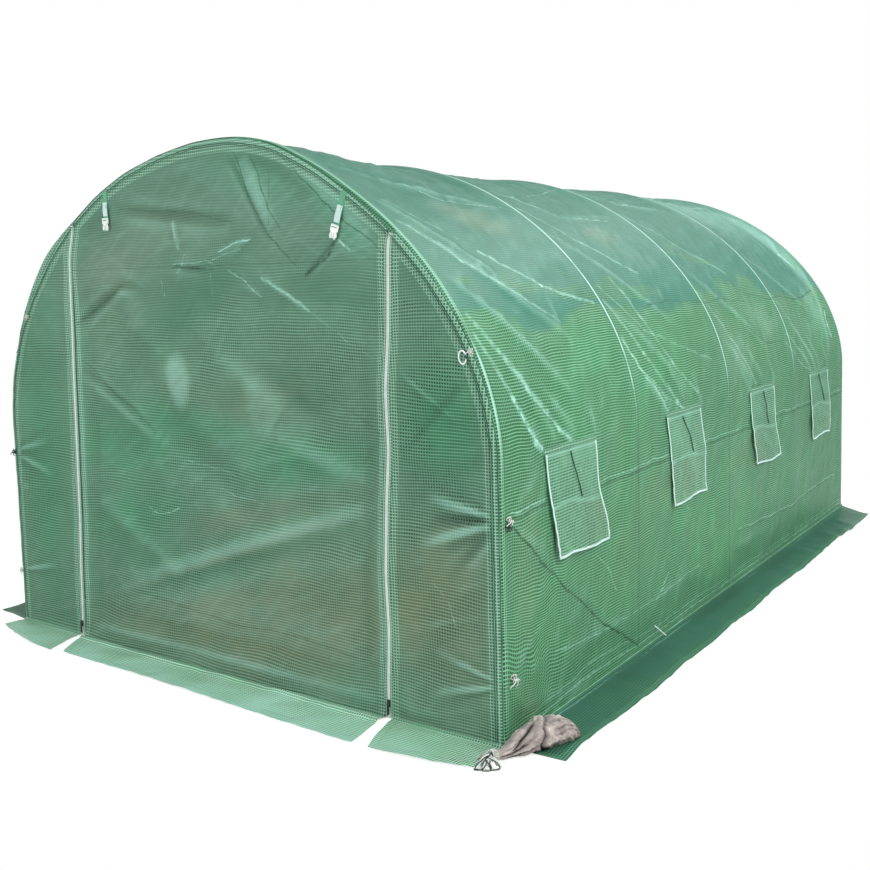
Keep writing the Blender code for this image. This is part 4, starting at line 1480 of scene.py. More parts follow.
# Patches of painted light and shade on the cover: y and distance from the foot, reach along and
# across, tilt, warmth (brown painted shade, or teal painted sheen below 0), light and crispness.
COVER_PATCHES = (
    (-1.84, .56, .1, .22, -10, .45, 0), (-.72, .62, .2, .07, 8, .55), (-1.1, .42, .16, .12, 30, .3, -.05),
    (-.3, .36, .34, .16, 0, -.3), (-1.86, .08, .09, .1, 30, .55, -.06), (.3, .62, .22, .08, 5, .4),
    (-1.35, 1.18, .26, .12, 30, -.35), (-.5, 1.16, .3, .12, 20, -.3, -.05),
    (-1.35, 1.9, .17, .08, -30, .4, .06), (-.42, 1.84, .12, .07, 0, .35, .05),
    (.2, 1.1, .22, .14, 10, .35, .08), (1.1, .5, .35, .2, 0, -.25), (.75, 1.25, .16, .1, -20, .25, .1),
    (1.55, 1.15, .25, .12, 0, -.3, .05), (-1.15, -.07, .34, .06, 0, 0, -.3),
    (-.2, -.04, .36, .05, 0, 0, -.5), (.6, -.05, .3, .06, 0, 0, -.4), (1.45, -.09, .5, .08, 0, 0, -.3),
    (1.86, 1.75, .1, .42, 0, 0, .3, 2), (1.7, 1.3, .1, .16, 20, 0, .2), (1.5, 2.2, .45, .35, 0, 0, .22),
)
# The same for the panels of the ends, with places (x, z).
FRONT_FOLDS = (
    (-.158, 1.736, -.132, 1.623, .005, .012, .06), (.084, 1.604, .252, 1.652, .007, .014, .08),
    (.05, 1.572, .2, 1.615, .005, .012, .05), (-.182, 1.564, .053, 1.536, -.007, .014, -.1),
    (.132, 1.53, .29, 1.449, .005, .012, .06), (.215, 1.955, .372, 1.672, .006, .042, .16, 1),
    (.16, 1.945, .335, 1.66, -.005, .014, -.1), (.299, 1.513, .513, 1.391, .007, .02, .1),
    (.653, 1.63, .511, 1.515, -.007, .02, -.16), (.48, 1.93, .9, 1.56, .006, .05, .14, 1),
    (-.459, 1.79, .154, 1.714, -.009, .03, -.12, 1), (-.824, 1.18, -.349, .922, -.008, .024, -.1, 1),
    (-.78, 1.14, -.3, .88, .012, .045, .03, 1), (-.479, 1.5, -.8, 1.335, -.008, .026, -.12, 1),
    (-.5, 1.5, -.2, 1.1, .016, .08, .02, 1), (-.1, 1.4, .35, 1, .016, .09, .02, 1),
    (-.3, 1, .2, .62, -.018, .08, -.04, 1), (.05, 1.28, .6, .98, -.014, .06, -.04, 1),
    (.3, .94, .78, .8, .012, .05, .03, 1), (-.72, .62, -.2, .34, .01, .05, .02, 1),
    (-.59, .268, .84, .753, .01, .04, .08, 1), (-.4, .285, .82, .65, -.01, .05, -.06, 1),
    (.9, 1.2, 1.12, 1.05, .006, .016, .05), (.92, .93, 1.18, 1.18, -.006, .02, -.08),
    (1.275, .742, 1, .79, .014, .018, .46, 2), (1.275, .728, .96, .62, .014, .02, .42, 2),
    (1.275, .735, 1.02, .715, -.014, .016, -.5, 2), (1.275, .725, 1.08, .52, -.008, .016, -.16, 2),
    (1.275, .212, 1.02, .275, .009, .016, .12, 2), (1.275, .2, .98, .12, .009, .018, .16, 2),
    (-1.265, .775, -1.02, .84, .01, .016, .2, 2), (-1.265, .765, -1, .68, .01, .016, .2, 2),
    (-1.265, .235, -1, .29, .008, .014, .18, 2), (-.84, .06, .82, .05, .003, .018, .08, 1),
)
BACK_FOLDS = (
    (-.9, 1.3, .2, .7, .014, .06, .05, 1), (.9, 1.4, .1, .9, .012, .05, .05, 1),
    (-.4, 1.8, .3, 1.2, .008, .02, .2), (.2, .6, 1, .2, .01, .03, .1), (-1.1, .5, -.3, .9, .01, .03, .1),
)
# Patches of painted light and shade on the end panels, listed as for the cover.
FRONT_PATCHES = (
    (.42, .28, .62, .22, 16, 1, .03), (-.35, .13, .6, .1, 8, .5, 0), (1.08, .42, .22, .36, 0, .75, 0),
    (.05, .6, .85, .055, 15, .45, -.05), (-.48, .86, .36, .13, 4, -.85, .05),
    (-.1, .96, .3, .07, -8, -.7, .1), (.42, .84, .32, .09, 8, -.7, .04), (-.48, .52, .3, .15, 10, -.8, 0),
    (-.12, .36, .36, .06, 14, -.35, .02), (.02, .455, .62, .02, 20, .8, .15),
    (-1.06, .7, .16, .62, 0, -.6, -.02), (1.08, 1.02, .17, .22, 0, -.7, -.03),
    (-.19, 1.125, .06, .11, 0, .3, .34, 2.4), (.255, 1.06, .1, .13, 0, .05, .2, 2.6),
    (.1, .22, .6, .1, 0, .35, .12), (-.42, 1.62, .34, .13, 20, .3, .08), (-.62, 1.44, .2, .2, 0, .22, .04),
    (-1.06, .9, .2, 1, 0, -.1, -.07), (1.08, 1.05, .2, .6, 0, -.15, -.12), (.02, 1.02, .6, .1, 12, .3, -.1),
    (.1, 1.7, .6, .16, 0, .1, .07), (-.1, 1.4, .52, .09, 35, -.15, -.1), (.55, 1.15, .3, .2, 30, 0, -.08),
    (.6, 1.42, .26, .12, 0, -.1, -.06), (.66, 1.74, .22, .08, -48, -.4, .14, 2),
    (.3, 1.86, .2, .08, -20, -.3, .08),
)
BACK_PATCHES = (
    (0, .15, 1.4, .28, 0, .5), (-.3, 1.1, .9, .4, 10, -.3),
)


@dataclass
class Cover:
    """Roof, walls and side skirts in one sheet that sags between the hoops."""

    finishes: Finishes
    row_step: float = 0.027
    bay_step: float = 0.025
    haunch_sag: float = 0.024
    ridge_sag: float = 0.004
    wall_sag: float = 0.006
    edge_radius: float = 0.018
    fillet: float = 0.012
    lying_z: float = 0.0022
    mitre: Pair = (0.02, 0.19)
    window: Triple = (0.135, 0.565, 0.865)
    closest: float = 0.0014

    def folds(self) -> list[Fold]:
        """The folds of both sides.

        Returns:
            Folds with places (y, distance from the right foot).
        """
        made = fold_rows(COVER_FOLDS)
        for number, centre in enumerate(BAYS):
            shift = 0.02 * math.sin(3.1 * number)
            made += [Fold((centre - 0.19, 0.895), (centre - 0.36 + shift, 1.08), 0.008, 0.018, 0.10),
                     Fold((centre + 0.02, 0.91), (centre - 0.16 + shift, 1.13), 0.008, 0.018, 0.08),
                     Fold((centre + 0.16, 0.90), (centre + 0.10 - shift, 1.06), 0.007, 0.018, 0.06)]
        mirrored = []
        for fold in made:
            (y, s), (end_y, end_s) = fold.start, fold.end
            jog = 0.05 * math.sin(7 * y + 3 * s)
            mirrored.append(Fold((y + jog, GIRTH - s), (end_y - jog, GIRTH - end_s),
                                 fold.height, fold.width, fold.pale))
        return made + mirrored

    def stations(self) -> Array:
        """Where the columns are: close together over the hoops and at the windows' edges.

        Returns:
            Places along the tunnel.
        """
        places = [-SIZE.end, SIZE.end, *np.arange(-SIZE.end, SIZE.end, self.bay_step)]
        for hoop in SIZE.hoops:
            places += [hoop + d for d in (-0.034, -0.022, -0.013, -0.007, 0.0, 0.007, 0.013, 0.022, 0.034)]
        for edge in (0.0015, 0.0045, 0.009, 0.014):
            places += [-SIZE.end + edge, SIZE.end - edge]
        for centre in BAYS:
            places += [centre - self.window[0], centre + self.window[0]]
        near = [-SIZE.end]
        for place in sorted(p for p in places if abs(p) <= SIZE.end)[1:]:
            if place - near[-1] >= self.closest:
                near.append(place)
            elif any(abs(abs(place - centre) - self.window[0]) < 1e-6 for centre in BAYS):
                near[-1] = place
        near[-1] = SIZE.end
        return np.array(near)

    def rows(self) -> Array:
        """Where the rows are, from the right skirt's edge to the left one's.

        Returns:
            Distances from the right foot.
        """
        low = np.concatenate([np.linspace(-SIZE.skirt, -self.fillet, 8), (-0.006, 0.0, 0.006)])
        rise = np.linspace(self.fillet * 1.1, self.window[1], 21)
        beside = np.linspace(self.window[1], self.window[2], 12)[1:]
        over = np.linspace(self.window[2], GIRTH / 2, int((GIRTH / 2 - self.window[2]) / self.row_step))[1:]
        half = np.concatenate([low, rise, beside, over])
        return np.concatenate([half, (GIRTH - half[:-1])[::-1]])

    def base(self, s: Array) -> tuple[Array, Array, Array, Array]:
        """The section at each distance, with its turn onto the ground.

        Args:
            s: distances from the right foot.

        Returns:
            The x and z of its points, and the x and z of its outward directions.
        """
        mirrored = s > GIRTH / 2
        half = np.where(mirrored, GIRTH - s, s)
        x, z = outline_at(np.clip(half, self.fillet, None))
        nx = np.interp(half, ALONG, OUTWARD[:, 0])
        nz = np.interp(half, ALONG, OUTWARD[:, 1])
        radius = self.fillet
        turn = np.clip((radius - half) / (2 * radius), 0, 1) * math.pi / 2
        bent, flat = half < radius, half < -radius
        x = np.where(bent, SIZE.half + radius - radius * np.cos(turn), x)
        z = np.where(bent, self.lying_z + radius - radius * np.sin(turn), z)
        nx, nz = np.where(bent, np.cos(turn), nx), np.where(bent, np.sin(turn), nz)
        x, z = np.where(flat, SIZE.half - half, x), np.where(flat, self.lying_z, z)
        sign = np.where(mirrored, -1.0, 1.0)
        return x * sign, z, nx * sign, nz

    def relief(self, y: Array, s: Array, half: Array, nearest: Array) -> tuple[Array, Array]:
        """How far the film stands out, and how pale it is, at each place.

        Args:
            y: places along the tunnel.
            s: distances from the right foot.
            half: distances from the nearer foot.
            nearest: distances from the nearest hoop.

        Returns:
            Heights and tones.
        """
        share = np.clip((s - SIZE.spring) / (GIRTH - 2 * SIZE.spring), 0, 1)
        rise = 1 - np.abs(2 * share - 1)
        sag = self.haunch_sag * np.sin(math.pi * rise) + self.ridge_sag * rise ** 2
        wall = np.clip(half / SIZE.spring, 0, 1)
        sag = sag + self.wall_sag * np.sin(math.pi * wall) * (rise <= 0)
        slack = 1 - (1 - np.clip(nearest / 0.5, 0, 1)) ** 2
        free = smooth(0.012, 0.11, nearest) * smooth(0.0, 0.08, SIZE.end - np.abs(y))
        folds, pale = fold_fields(self.folds(), y, s)
        waves = 0.0035 * ripples(y, s, 3, 0.7, 0.16, 9) + 0.0022 * ripples(y, s, 5, 0.30, 0.05, 10, True)
        upper = smooth(1.7, 2.4, half)
        streaks = ripples(y, s, 11, 0.9, 0.10, 9, True, (3.2, 0.7))
        waves = waves + 0.0045 * upper * streaks
        height = -sag * slack + (folds + waves) * free + billow(s, y)
        # Painted sheen along the long streaks near the ridge.
        pale = pale * free + 0.16 * upper * smooth(0.5, 1.6, streaks) * free
        level = smooth(0.49, 0.52, half) * smooth(0.93, 0.90, half)
        for centre in BAYS:
            behind = smooth(0.25, 0.19, np.abs(y - centre)) * level
            height = np.where(height > 0, height * (1 - behind), height)
        return height, pale

    def windows(self, stations: Array, rows: Array) -> Array:
        """Which cells of the sheet are film, and not a window's opening.

        Args:
            stations: places along the tunnel.
            rows: distances along the section.

        Returns:
            True for each cell of film.
        """
        middle_y, middle_s = (stations[1:] + stations[:-1]) / 2, (rows[1:] + rows[:-1]) / 2
        middle_s = np.minimum(middle_s, GIRTH - middle_s)
        level = (middle_s > self.window[1]) & (middle_s < self.window[2])
        open_y = np.min(np.abs(middle_y[:, None] - np.array(BAYS)), axis=1) < self.window[0]
        return ~(level[:, None] & open_y[None])

    def build(self) -> None:
        """The sheet, on the tunnel."""
        stations, rows = self.stations(), self.rows()
        y, s = np.meshgrid(stations, rows)
        half = np.minimum(s, GIRTH - s)
        nearest = np.min(np.abs(y[..., None] - np.array(SIZE.hoops)), axis=-1)
        x, z, out_x, out_z = self.base(s)
        height, pale = self.relief(y, s, half, nearest)
        lying = smooth(0.004, -0.012, half)
        gap = np.minimum(y + SIZE.end, SIZE.end - y)
        sunk = np.clip(self.edge_radius - gap, 0, None)
        curl = self.edge_radius - np.sqrt(np.clip(self.edge_radius ** 2 - sunk ** 2, 0, None))
        curl = curl * (1 - lying) * smooth(0.0, 0.05, half)
        swing = 0.5 + 0.5 * np.sin(7.0 * y + 1.2 * np.sin(3 * y))
        ground = 0.005 * np.abs(ripples(y, s, 17, 0.5, 0.12, 8)) * smooth(-0.02, -0.12, half)
        ground = ground + 0.006 * smooth(-0.15, -0.2, half) * swing
        edge_wave = smooth(-0.05, -0.2, half) * (0.012 + 0.004 * ripples(y, s * 0, 19, 0.9, 0.3, 5))
        out = np.where(half < 0.0, ground, height * smooth(0.0, 0.08, half)) - curl
        share = np.clip(-half / SIZE.skirt, 0, 1)
        length = blend(-SIZE.end + self.mitre[0] * share, SIZE.end - self.mitre[1] * share,
                       (y + SIZE.end) / SIZE.length)
        points = vectors(x + out_x * out + np.sign(x) * edge_wave, length, z + out_z * out)
        # Painted light and shade: paler where the film bends outwards, darker in its hollows.
        tone = pale + np.clip(curvature(height, s, y), -0.30, 0.30) * (1 - lying)
        pull = bell(y, -1.85, 0.22) * bell(half, 0.25, 0.30)
        drift = (0.004 + 0.016 * pull) * ripples(y, s, 61, 0.42, 0.12, 7) * smooth(0.03, 0.10, half)
        fields = {"cloth": vectors(y, s + drift, np.minimum(gap, half + SIZE.skirt)),
                  "worn": vectors(tone, nearest + 0.02 * smooth(1.2, 1.5, half) * (np.abs(y) > 1.9), lying),
                  "tint": tint_field(COVER_PATCHES, y, half)}
        made = shell("cover_film", points, fields, self.finishes.cover, keep=self.windows(stations, rows))
        seat(made, TUNNEL, "cover_film", "cover_sheet")


def curvature(height: Array, s: Array, y: Array) -> Array:
    """How sharply a sheet bends outwards, scaled for use as a tone of painted light and shade.

    Args:
        height: how far it stands out.
        s, y: its places, down its rows and over its columns.

    Returns:
        The bend at each place.
    """
    down = np.gradient(np.gradient(height, axis=0) / np.gradient(s, axis=0), axis=0) / np.gradient(s, axis=0)
    over = np.gradient(np.gradient(height, axis=1) / np.gradient(y, axis=1), axis=1) / np.gradient(y, axis=1)
    return -(down + over) * 0.012


@dataclass
class EndFilm:
    """What all upright end panels share: the relief of the film and how a panel becomes a sheet."""

    finishes: Finishes
    facing: Facing = Facing.FRONT
    inset: float = 0.0075
    step: float = 0.0105
    round: float = 0.018
    seam: float = 0.024
    lying_z: float = 0.0022
    fillet: float = 0.010
    flare: float = 0.010
    set_back: float = 0.0035

    def relief(self, x: Array, z: Array, edge: Array) -> tuple[Array, Array]:
        """How far the film stands out and how pale it is; it is held at the arch, zips and ground.

        Args:
            x, z: places on the panel.
            edge: how far each of them is from the arch's edge.

        Returns:
            Heights and tones.
        """
        front = self.facing is Facing.FRONT
        folds, pale = fold_fields(fold_rows(FRONT_FOLDS if front else BACK_FOLDS), x, z)
        seed = 23 if front else 29
        waves = 0.0060 * ripples(x, z, seed, 0.9, 0.25, 8, stretch=(1.6, 1.0))
        waves = waves + 0.0010 * ripples(x, z, seed + 1, 0.40, 0.09, 8, True, (2.2, 1.0))
        held = smooth(0.026, 0.10, edge) * smooth(0.0, 0.07, z)
        if front:
            for side in Side:
                held = held * (0.12 + 0.88 * smooth(0.018, 0.11, np.abs(x - SIZE.zip_x(side, z))))
        height = (folds + waves) * held
        if front:
            gathered = smooth(1.46, 1.50, z) * smooth(1.70, 1.62, z) * (np.abs(x) < 0.9)
            height = np.where(height > 0.0008, blend(height, 0.0008, gathered), height)
        return np.where((np.abs(x) < 0.05) & (z > 1.9), np.maximum(height, 0), height), pale * held

    def skirt_row(self, foot: Array, corners: tuple[Pair, Pair], share: float) -> tuple[Array, Array, Array]:
        """One row of a skirt's points.

        Args:
            foot: x of the panel's foot.
            corners: (x, y) of the skirt's outer corners.
            share: 1 at its outer edge and 0 at the turn; below 0 the row is part of the turn itself.

        Returns:
            The points, and what they carry as cloth and as worn.
        """
        sign = self.facing.value
        columns = np.linspace(0, 1, len(foot))
        turn_y = SIZE.face + self.fillet
        reach = np.minimum(columns, 1 - columns) * np.ptp(foot)
        if share < 0:
            turn = -share * math.pi / 6
            y = turn_y - self.fillet * math.sin(turn)
            points = vectors(foot, sign * y, self.lying_z + self.fillet * (1 - math.cos(turn)))
            return (points, vectors(foot, SIZE.face - y, reach + 0.001),
                    vectors(0 * foot, 1.0, 1.0 + share * 0.33))
        x = blend(foot, blend(corners[0][0], corners[1][0], columns), share ** 1.25)
        y = blend(turn_y, blend(abs(corners[0][1]), abs(corners[1][1]), columns), share)
        y = y + 0.016 * share * np.sin(math.pi * columns)
        lift = 0.004 * np.abs(ripples(x, y, 31, 0.5, 0.1, 8)) * min(1, share * 5)
        lift = lift + 0.005 * share * (0.5 + 0.5 * np.sin(5.0 * x + 2 * share))
        # Painted light and shade: the skirt is darker by the foot and paler towards its outer edge.
        tone = 0.16 * ripples(x, y, 71, 0.6, 0.08, 8) + 0.30 * share - 0.12
        reach = np.minimum(reach, (1 - share) * SIZE.skirt)
        return (vectors(x, sign * y, self.lying_z + lift), vectors(x, SIZE.face - y, reach + 0.001),
                vectors(tone, 1.0, 1.0))

    def sheet(self, name: str, x: Array, z: Array, finish: Material,
              skirt: tuple[Pair, Pair] | None = None, zips: Sequence[Side] = (),
              bowed: float = 0.0) -> Object:
        """A panel whose points are given on the end's plane, with its stretch of skirt.

        Args:
            name: its name.
            x, z: rows from the foot upwards, columns from -X to +X.
            finish: its material.
            skirt: the (x, y) corners of the skirt's outer edge, for a panel that has one.
            zips: the zips beside it, whose hems it carries.
            bowed: how far its middle lies behind its plane.

        Returns:
            The object.
        """
        sign = self.facing.value
        from_edge = from_arch(x, z, sign * SIZE.end)
        height, pale = self.relief(x, z, from_edge)
        if bowed:
            head = SIZE.door_head
            beside = np.minimum(x - x[:, :1], x[:, -1:] - x)
            height = height - self.set_back * smooth(head, head - 0.12, z)
            height = height - bowed * smooth(0.0, 0.10, beside) * smooth(0.02, 0.14, z) * smooth(
                head, head - 0.34, z)
        edge = np.abs(from_edge - self.seam) + 0.001 * (from_edge < self.seam)
        sunk = np.clip(self.round - from_edge, 0, self.round)
        height = height - (self.round - np.sqrt(self.round ** 2 - sunk ** 2))
        height = height - 0.0016 * smooth(self.round, 0.006, from_edge)
        for side in zips:
            edge = np.minimum(edge, np.abs(x - SIZE.zip_x(side, z)) - SIZE.zip_edge + 0.002)
        # Painted light and shade: paler where the film bends outwards, darker in its hollows.
        tone = pale + np.clip(curvature(height, z, x) * (from_edge > self.seam), -0.22, 0.22)
        tone = tone + 0.10 * smooth(self.seam, self.seam - 0.004, from_edge)
        flare = self.flare * np.exp(-z / 0.022) if skirt is None and sign < 0 else 0.0
        bend = 0.006 * ripples(x, z, 67, 0.5, 0.15, 7) * smooth(0.0, 0.1, from_edge)
        grid = vectors(x, sign * (SIZE.face + height + flare), z)
        cloth = vectors(x + 0.3 * bend, z + bend, edge)
        worn = vectors(tone, 1.0, 0.0)
        tint = tint_field(FRONT_PATCHES if self.facing is Facing.FRONT else BACK_PATCHES, x, z)
        if skirt:
            rows = [self.skirt_row(x[0], skirt, share) for share in (*np.linspace(1, 0, 11), -1, -2)]
            grid, cloth, worn = (np.concatenate([np.stack(added), own])
                                 for added, own in zip(zip(*rows), (grid, cloth, worn)))
            tint = np.concatenate([np.zeros((len(rows),) + tint.shape[1:]), tint])
        return shell(name, grid, {"cloth": cloth, "worn": worn, "tint": tint}, finish,
                     flip=self.facing is Facing.BACK)

    def ruled(self, bottom: tuple[Array, Array], top: tuple[Array, Array]) -> tuple[Array, Array]:
        """Rows of places between two lines.

        Args:
            bottom, top: the x and z of both lines, with as many points.

        Returns:
            The x and z of the rows, from the bottom up.
        """
        tall = float(np.max(top[1] - bottom[1]))
        shares = np.linspace(0, 1, max(4, int(tall / self.step)))[:, None]
        return blend(bottom[0][None], top[0][None], shares), blend(bottom[1][None], top[1][None], shares)


def flat_area(x: Array, z: Array) -> float:
    """The flat area of a grid of places.

    Args:
        x, z: the places.

    Returns:
        Its area in square metres.
    """
    ax, az = x[:-1, :-1] - x[1:, 1:], z[:-1, :-1] - z[1:, 1:]
    bx, bz = x[:-1, 1:] - x[1:, :-1], z[:-1, 1:] - z[1:, :-1]
    return float(np.abs(ax * bz - az * bx).sum() / 2)


@dataclass
class FrontEnd(EndFilm):
    """The door's end: two strips, the head, the door and its apron."""

    foot: float = 0.0125
    bow: float = 0.020
    strip_flat: Pair = (0.44, 2.1)
    head_flat: Pair = (1.72, 0.44)
    door_flat: Pair = (1.66, 1.556)
    apron_flat: Pair = (1.62, 0.196)
    skirts: dict[str, tuple[Pair, Pair]] = field(default_factory=lambda: {
        "left": ((-1.278, -2.104), (-0.808, -2.196)),
        "door": ((-0.748, -2.178), (0.842, -2.224)),
        "right": ((0.906, -2.222), (1.296, -2.160))})

    def strip(self, side: Side) -> None:
        """The fixed film between the arch and a zip.

        Args:
            side: which of the two.
        """
        outside = SIZE.spring if side is Side.RIGHT else GIRTH - SIZE.spring
        count = int(self.strip_flat[0] / self.step)
        shares = np.linspace(0, 1, count)
        girth = blend(outside, zip_girth(side), shares)
        top = outline_at(girth, self.inset - billow(girth, -SIZE.end))
        hem = SIZE.zip_edge * side.value
        edge = (SIZE.half - self.inset) * side.value
        at_zip = float(SIZE.zip_x(side, self.foot)) + hem
        bottom = (blend(edge, at_zip, shares), np.full(count, self.foot))
        x, z = self.ruled(bottom, (top[0] + shares * hem, top[1]))
        x = x + (SIZE.zip_x(side, z) + hem - x[:, -1:]) * shares[None] ** 2
        if side is Side.RIGHT:
            x, z = x[:, ::-1], z[:, ::-1]
        made = self.sheet(f"front_strip_{side.label}", x, z, self.finishes.gable,
                          self.skirts[side.label], [side])
        seat(made, TUNNEL, "gable_film", f"front_panel_{side.label}")
        flat_area(x, z) + SIZE.skirt * 0.42

    def head(self) -> None:
        """The fixed film over the door."""
        count = int(1.75 / self.step)
        shares = np.linspace(0, 1, count)
        bottom_z = SIZE.door_head + 0.0004
        edges = [float(SIZE.zip_x(side, bottom_z)) - SIZE.zip_edge * side.value for side in Side]
        girth = blend(zip_girth(Side.LEFT), zip_girth(Side.RIGHT), shares)
        top = outline_at(girth, self.inset - billow(girth, -SIZE.end))
        x, z = self.ruled((blend(edges[0], edges[1], shares), np.full(count, bottom_z)), top)
        for side, column, pull in ((Side.LEFT, 0, (1 - shares) ** 3), (Side.RIGHT, -1, shares ** 3)):
            line = SIZE.zip_x(side, z[:, column]) - SIZE.zip_edge * side.value
            x = x + (line - x[:, column])[:, None] * pull[None]
        made = self.sheet("door_head_film", x, z, self.finishes.gable, None, list(Side))
        seat(made, TUNNEL, "gable_film", "gable_head")
        flat_area(x, z)

    def door(self) -> None:
        """The roll-up door, which gathers towards its head."""
        count = int(self.door_flat[0] / self.step)
        rows = 0.0032 + (SIZE.door_head - 0.0036) * np.linspace(0, 1, int(1.56 / self.step)) ** 1.08
        z = np.repeat(rows[:, None], count, 1)
        x = blend(SIZE.zip_x(Side.LEFT, z) + SIZE.zip_edge, SIZE.zip_x(Side.RIGHT, z) - SIZE.zip_edge,
                  np.linspace(0, 1, count)[None])
        made = self.sheet("door_film", x, z, self.finishes.gable, None, list(Side), self.bow)
        seat(made, "door", "gable_film", "door_panel")
        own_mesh(made)
        flat_area(x, z)

    def apron(self) -> None:
        """The door's stretch of skirt, which turns on its hem."""
        columns = np.linspace(0, 1, 110)
        edges = [float(SIZE.zip_x(side, 0.0)) - (SIZE.zip_edge + 0.002) * side.value for side in Side]
        foot = blend(edges[0], edges[1], columns)
        left, right = self.skirts["door"]
        inner_y, hinge_y = SIZE.face - 0.016, SIZE.face + 0.0017
        rows = []
        for share in (*np.linspace(1, 0, 25), -1):
            reach = max(share, 0.0)
            x = blend(foot, blend(left[0], right[0], columns), reach ** 1.25)
            y = blend(hinge_y, blend(abs(left[1]), abs(right[1]), columns), reach)
            if share < 0:
                y = y + inner_y - hinge_y
            lift = 0.004 * np.abs(ripples(x, y, 37, 0.5, 0.1, 8)) * min(1, reach * 6)
            lift = lift + 0.006 * reach * (0.5 + 0.5 * np.sin(5.0 * x + 2 * reach))
            lift = lift + 0.010 * bell(reach, 0.16, 0.07) * min(1, reach * 20)
            hem = np.minimum(np.minimum(columns, 1 - columns) * self.apron_flat[0], (1 - reach) * 0.194)
            seam = 0.34 * bell(reach, 0.125, 0.02) - 0.55 * bell(reach, 0.085, 0.012)
            seam = seam - 0.30 * bell(reach, 0.165, 0.012)
            # Painted light and shade: the apron is darker by the foot and paler towards its outer edge.
            tone = seam + 0.16 * ripples(x, y, 71, 0.6, 0.08, 8) + 0.36 * reach + 0.02
            rows.append((vectors(x, -y, self.lying_z + lift), vectors(x, SIZE.face - y, hem + 0.001),
                         vectors(tone, 1.0, 1.0)))
        points, cloth, worn = (np.stack(part) for part in zip(*rows))
        made = shell("door_apron_film", points, {"cloth": cloth, "worn": worn}, self.finishes.back)
        seat(made, "apron", "gable_film", "door_apron")
        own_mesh(made)

    def build(self) -> None:
        """All the film of the front."""
        for side in Side:
            self.strip(side)
        self.head()
        self.door()
        self.apron()


@dataclass
class BackEnd(EndFilm):
    """The plain panel at the back, with its skirt."""

    facing: Facing = Facing.BACK
    step: float = 0.0145
    flat: Pair = (2.574, 2.2)

    def build(self) -> None:
        """The sheet, on the tunnel."""
        count = int(self.flat[0] / self.step)
        x_top = np.cos(np.linspace(math.pi, 0, count)) * (SIZE.half - self.inset)
        places = np.array([girth_at_x(float(x)) for x in x_top * SIZE.half / (SIZE.half - self.inset)])
        x, z = self.ruled((x_top, np.full(count, 0.0125)), (x_top, outline_at(places, self.inset)[1]))
        mitre, edge = SIZE.half - 0.19, SIZE.end + SIZE.skirt - 0.002
        made = self.sheet("back_film", x, z, self.finishes.back, ((-mitre, edge), (mitre, edge)))
        seat(made, TUNNEL, "gable_film", "back_panel")
        flat_area(x, z) + SIZE.skirt * 2.4


@dataclass
class ArchSeams:
    """The seams round both ends: two dark lines with the film rolled over the hoop between them."""

    finishes: Finishes
    repeat: Repeater
    seam: float = 0.024
    radius: float = 0.0016
    pitch: float = 0.0075

    def line(self, facing: Facing, inset: float, out: float) -> Array:
        """A line round an end.

        Args:
            facing: which end.
            inset: how far inside the outline it runs.
            out: how far it stands off the face.

        Returns:
            Points from the right foot to the left.
        """
        s = np.linspace(0.016, GIRTH - 0.016, 300)
        waver = 0.0008 * np.sin(31 * s) + 0.0006 * np.sin(13 * s)
        x, z = outline_at(s, inset - billow(s, facing.value * SIZE.end) + waver)
        return vectors(x, facing.value * (SIZE.face + out), z)

    def build(self) -> None:
        """The lines of both ends and the stitches beside them."""
        for facing in Facing:
            label = facing.name.lower()
            lines = [tube("line", self.line(facing, inset, out), radius, self.finishes.piping, 6)
                     for inset, out, radius in ((self.seam, 0.0006, self.radius),
                                                (self.seam + 0.0065, 0.0002, self.radius * 0.7),
                                                (0.0058, -0.0062, self.radius))]
            seat(joined(f"{label}_piping", lines), TUNNEL, "webbing")
            path = self.line(facing, self.seam + 0.0125, 0.0006)
            made = self.repeat.along(f"{label}_seam_stitches", [path], (0.0, facing.value, 0.0),
                                     stitch_mesh(), self.pitch, self.finishes.dark_stitch)
            seat(made, TUNNEL, "webbing")


@dataclass
class ZipFastener:
    """A zip beside the door: tape, coil and the film's facings over the tape's edges."""

    finishes: Finishes
    repeat: Repeater
    side: Side
    foot: float = 0.004
    clear_from_head: float = 0.016
    width: float = 0.0290
    facing_at: float = 0.0120
    facing_width: float = 0.0110
    stitches_at: float = 0.0102
    out: Triple = (0.0, -1.0, 0.0)

    def line(self, shift: float, out: float) -> Array:
        """A line up the zip.

        Args:
            shift: how far it is moved across.
            out: how far it stands off the tape's back.

        Returns:
            Points from the foot up.
        """
        top = float(outline_at(np.array(zip_girth(self.side)))[1]) - self.clear_from_head
        z = np.linspace(self.foot, top, 150)
        return vectors(SIZE.zip_x(self.side, z) + shift, -(SIZE.face - 0.0015 + out), z)

    def build(self) -> None:
        """All its pieces."""
        name = f"zip_{self.side.label}"
        tape = ribbon(f"{name}_tape", self.line(0.0, 0.0011), self.out, self.width, 0.0011,
                      self.finishes.tape, 7)
        seat(tape, TUNNEL, "zip_tape", name)
        facings = [ribbon("facing", self.line(shift, 0.0024), self.out, self.facing_width, 0.0009,
                          self.finishes.back, 4, 0.02) for shift in (-self.facing_at, self.facing_at)]
        seat(joined(f"{name}_facings", facings), TUNNEL, "zip_tape")
        coil = self.repeat.along(f"{name}_coil", [self.line(0.0, 0.0009)], self.out, tooth_mesh(),
                                 0.0042, self.finishes.teeth)
        seat(coil, TUNNEL, "zip_tape")
        rows = [self.line(shift, 0.0025) for shift in (-self.stitches_at, self.stitches_at)]
        stitches = self.repeat.along(f"{name}_stitches", rows, self.out, stitch_mesh(), 0.0070,
                                     self.finishes.stitch)
        seat(stitches, TUNNEL, "zip_tape")


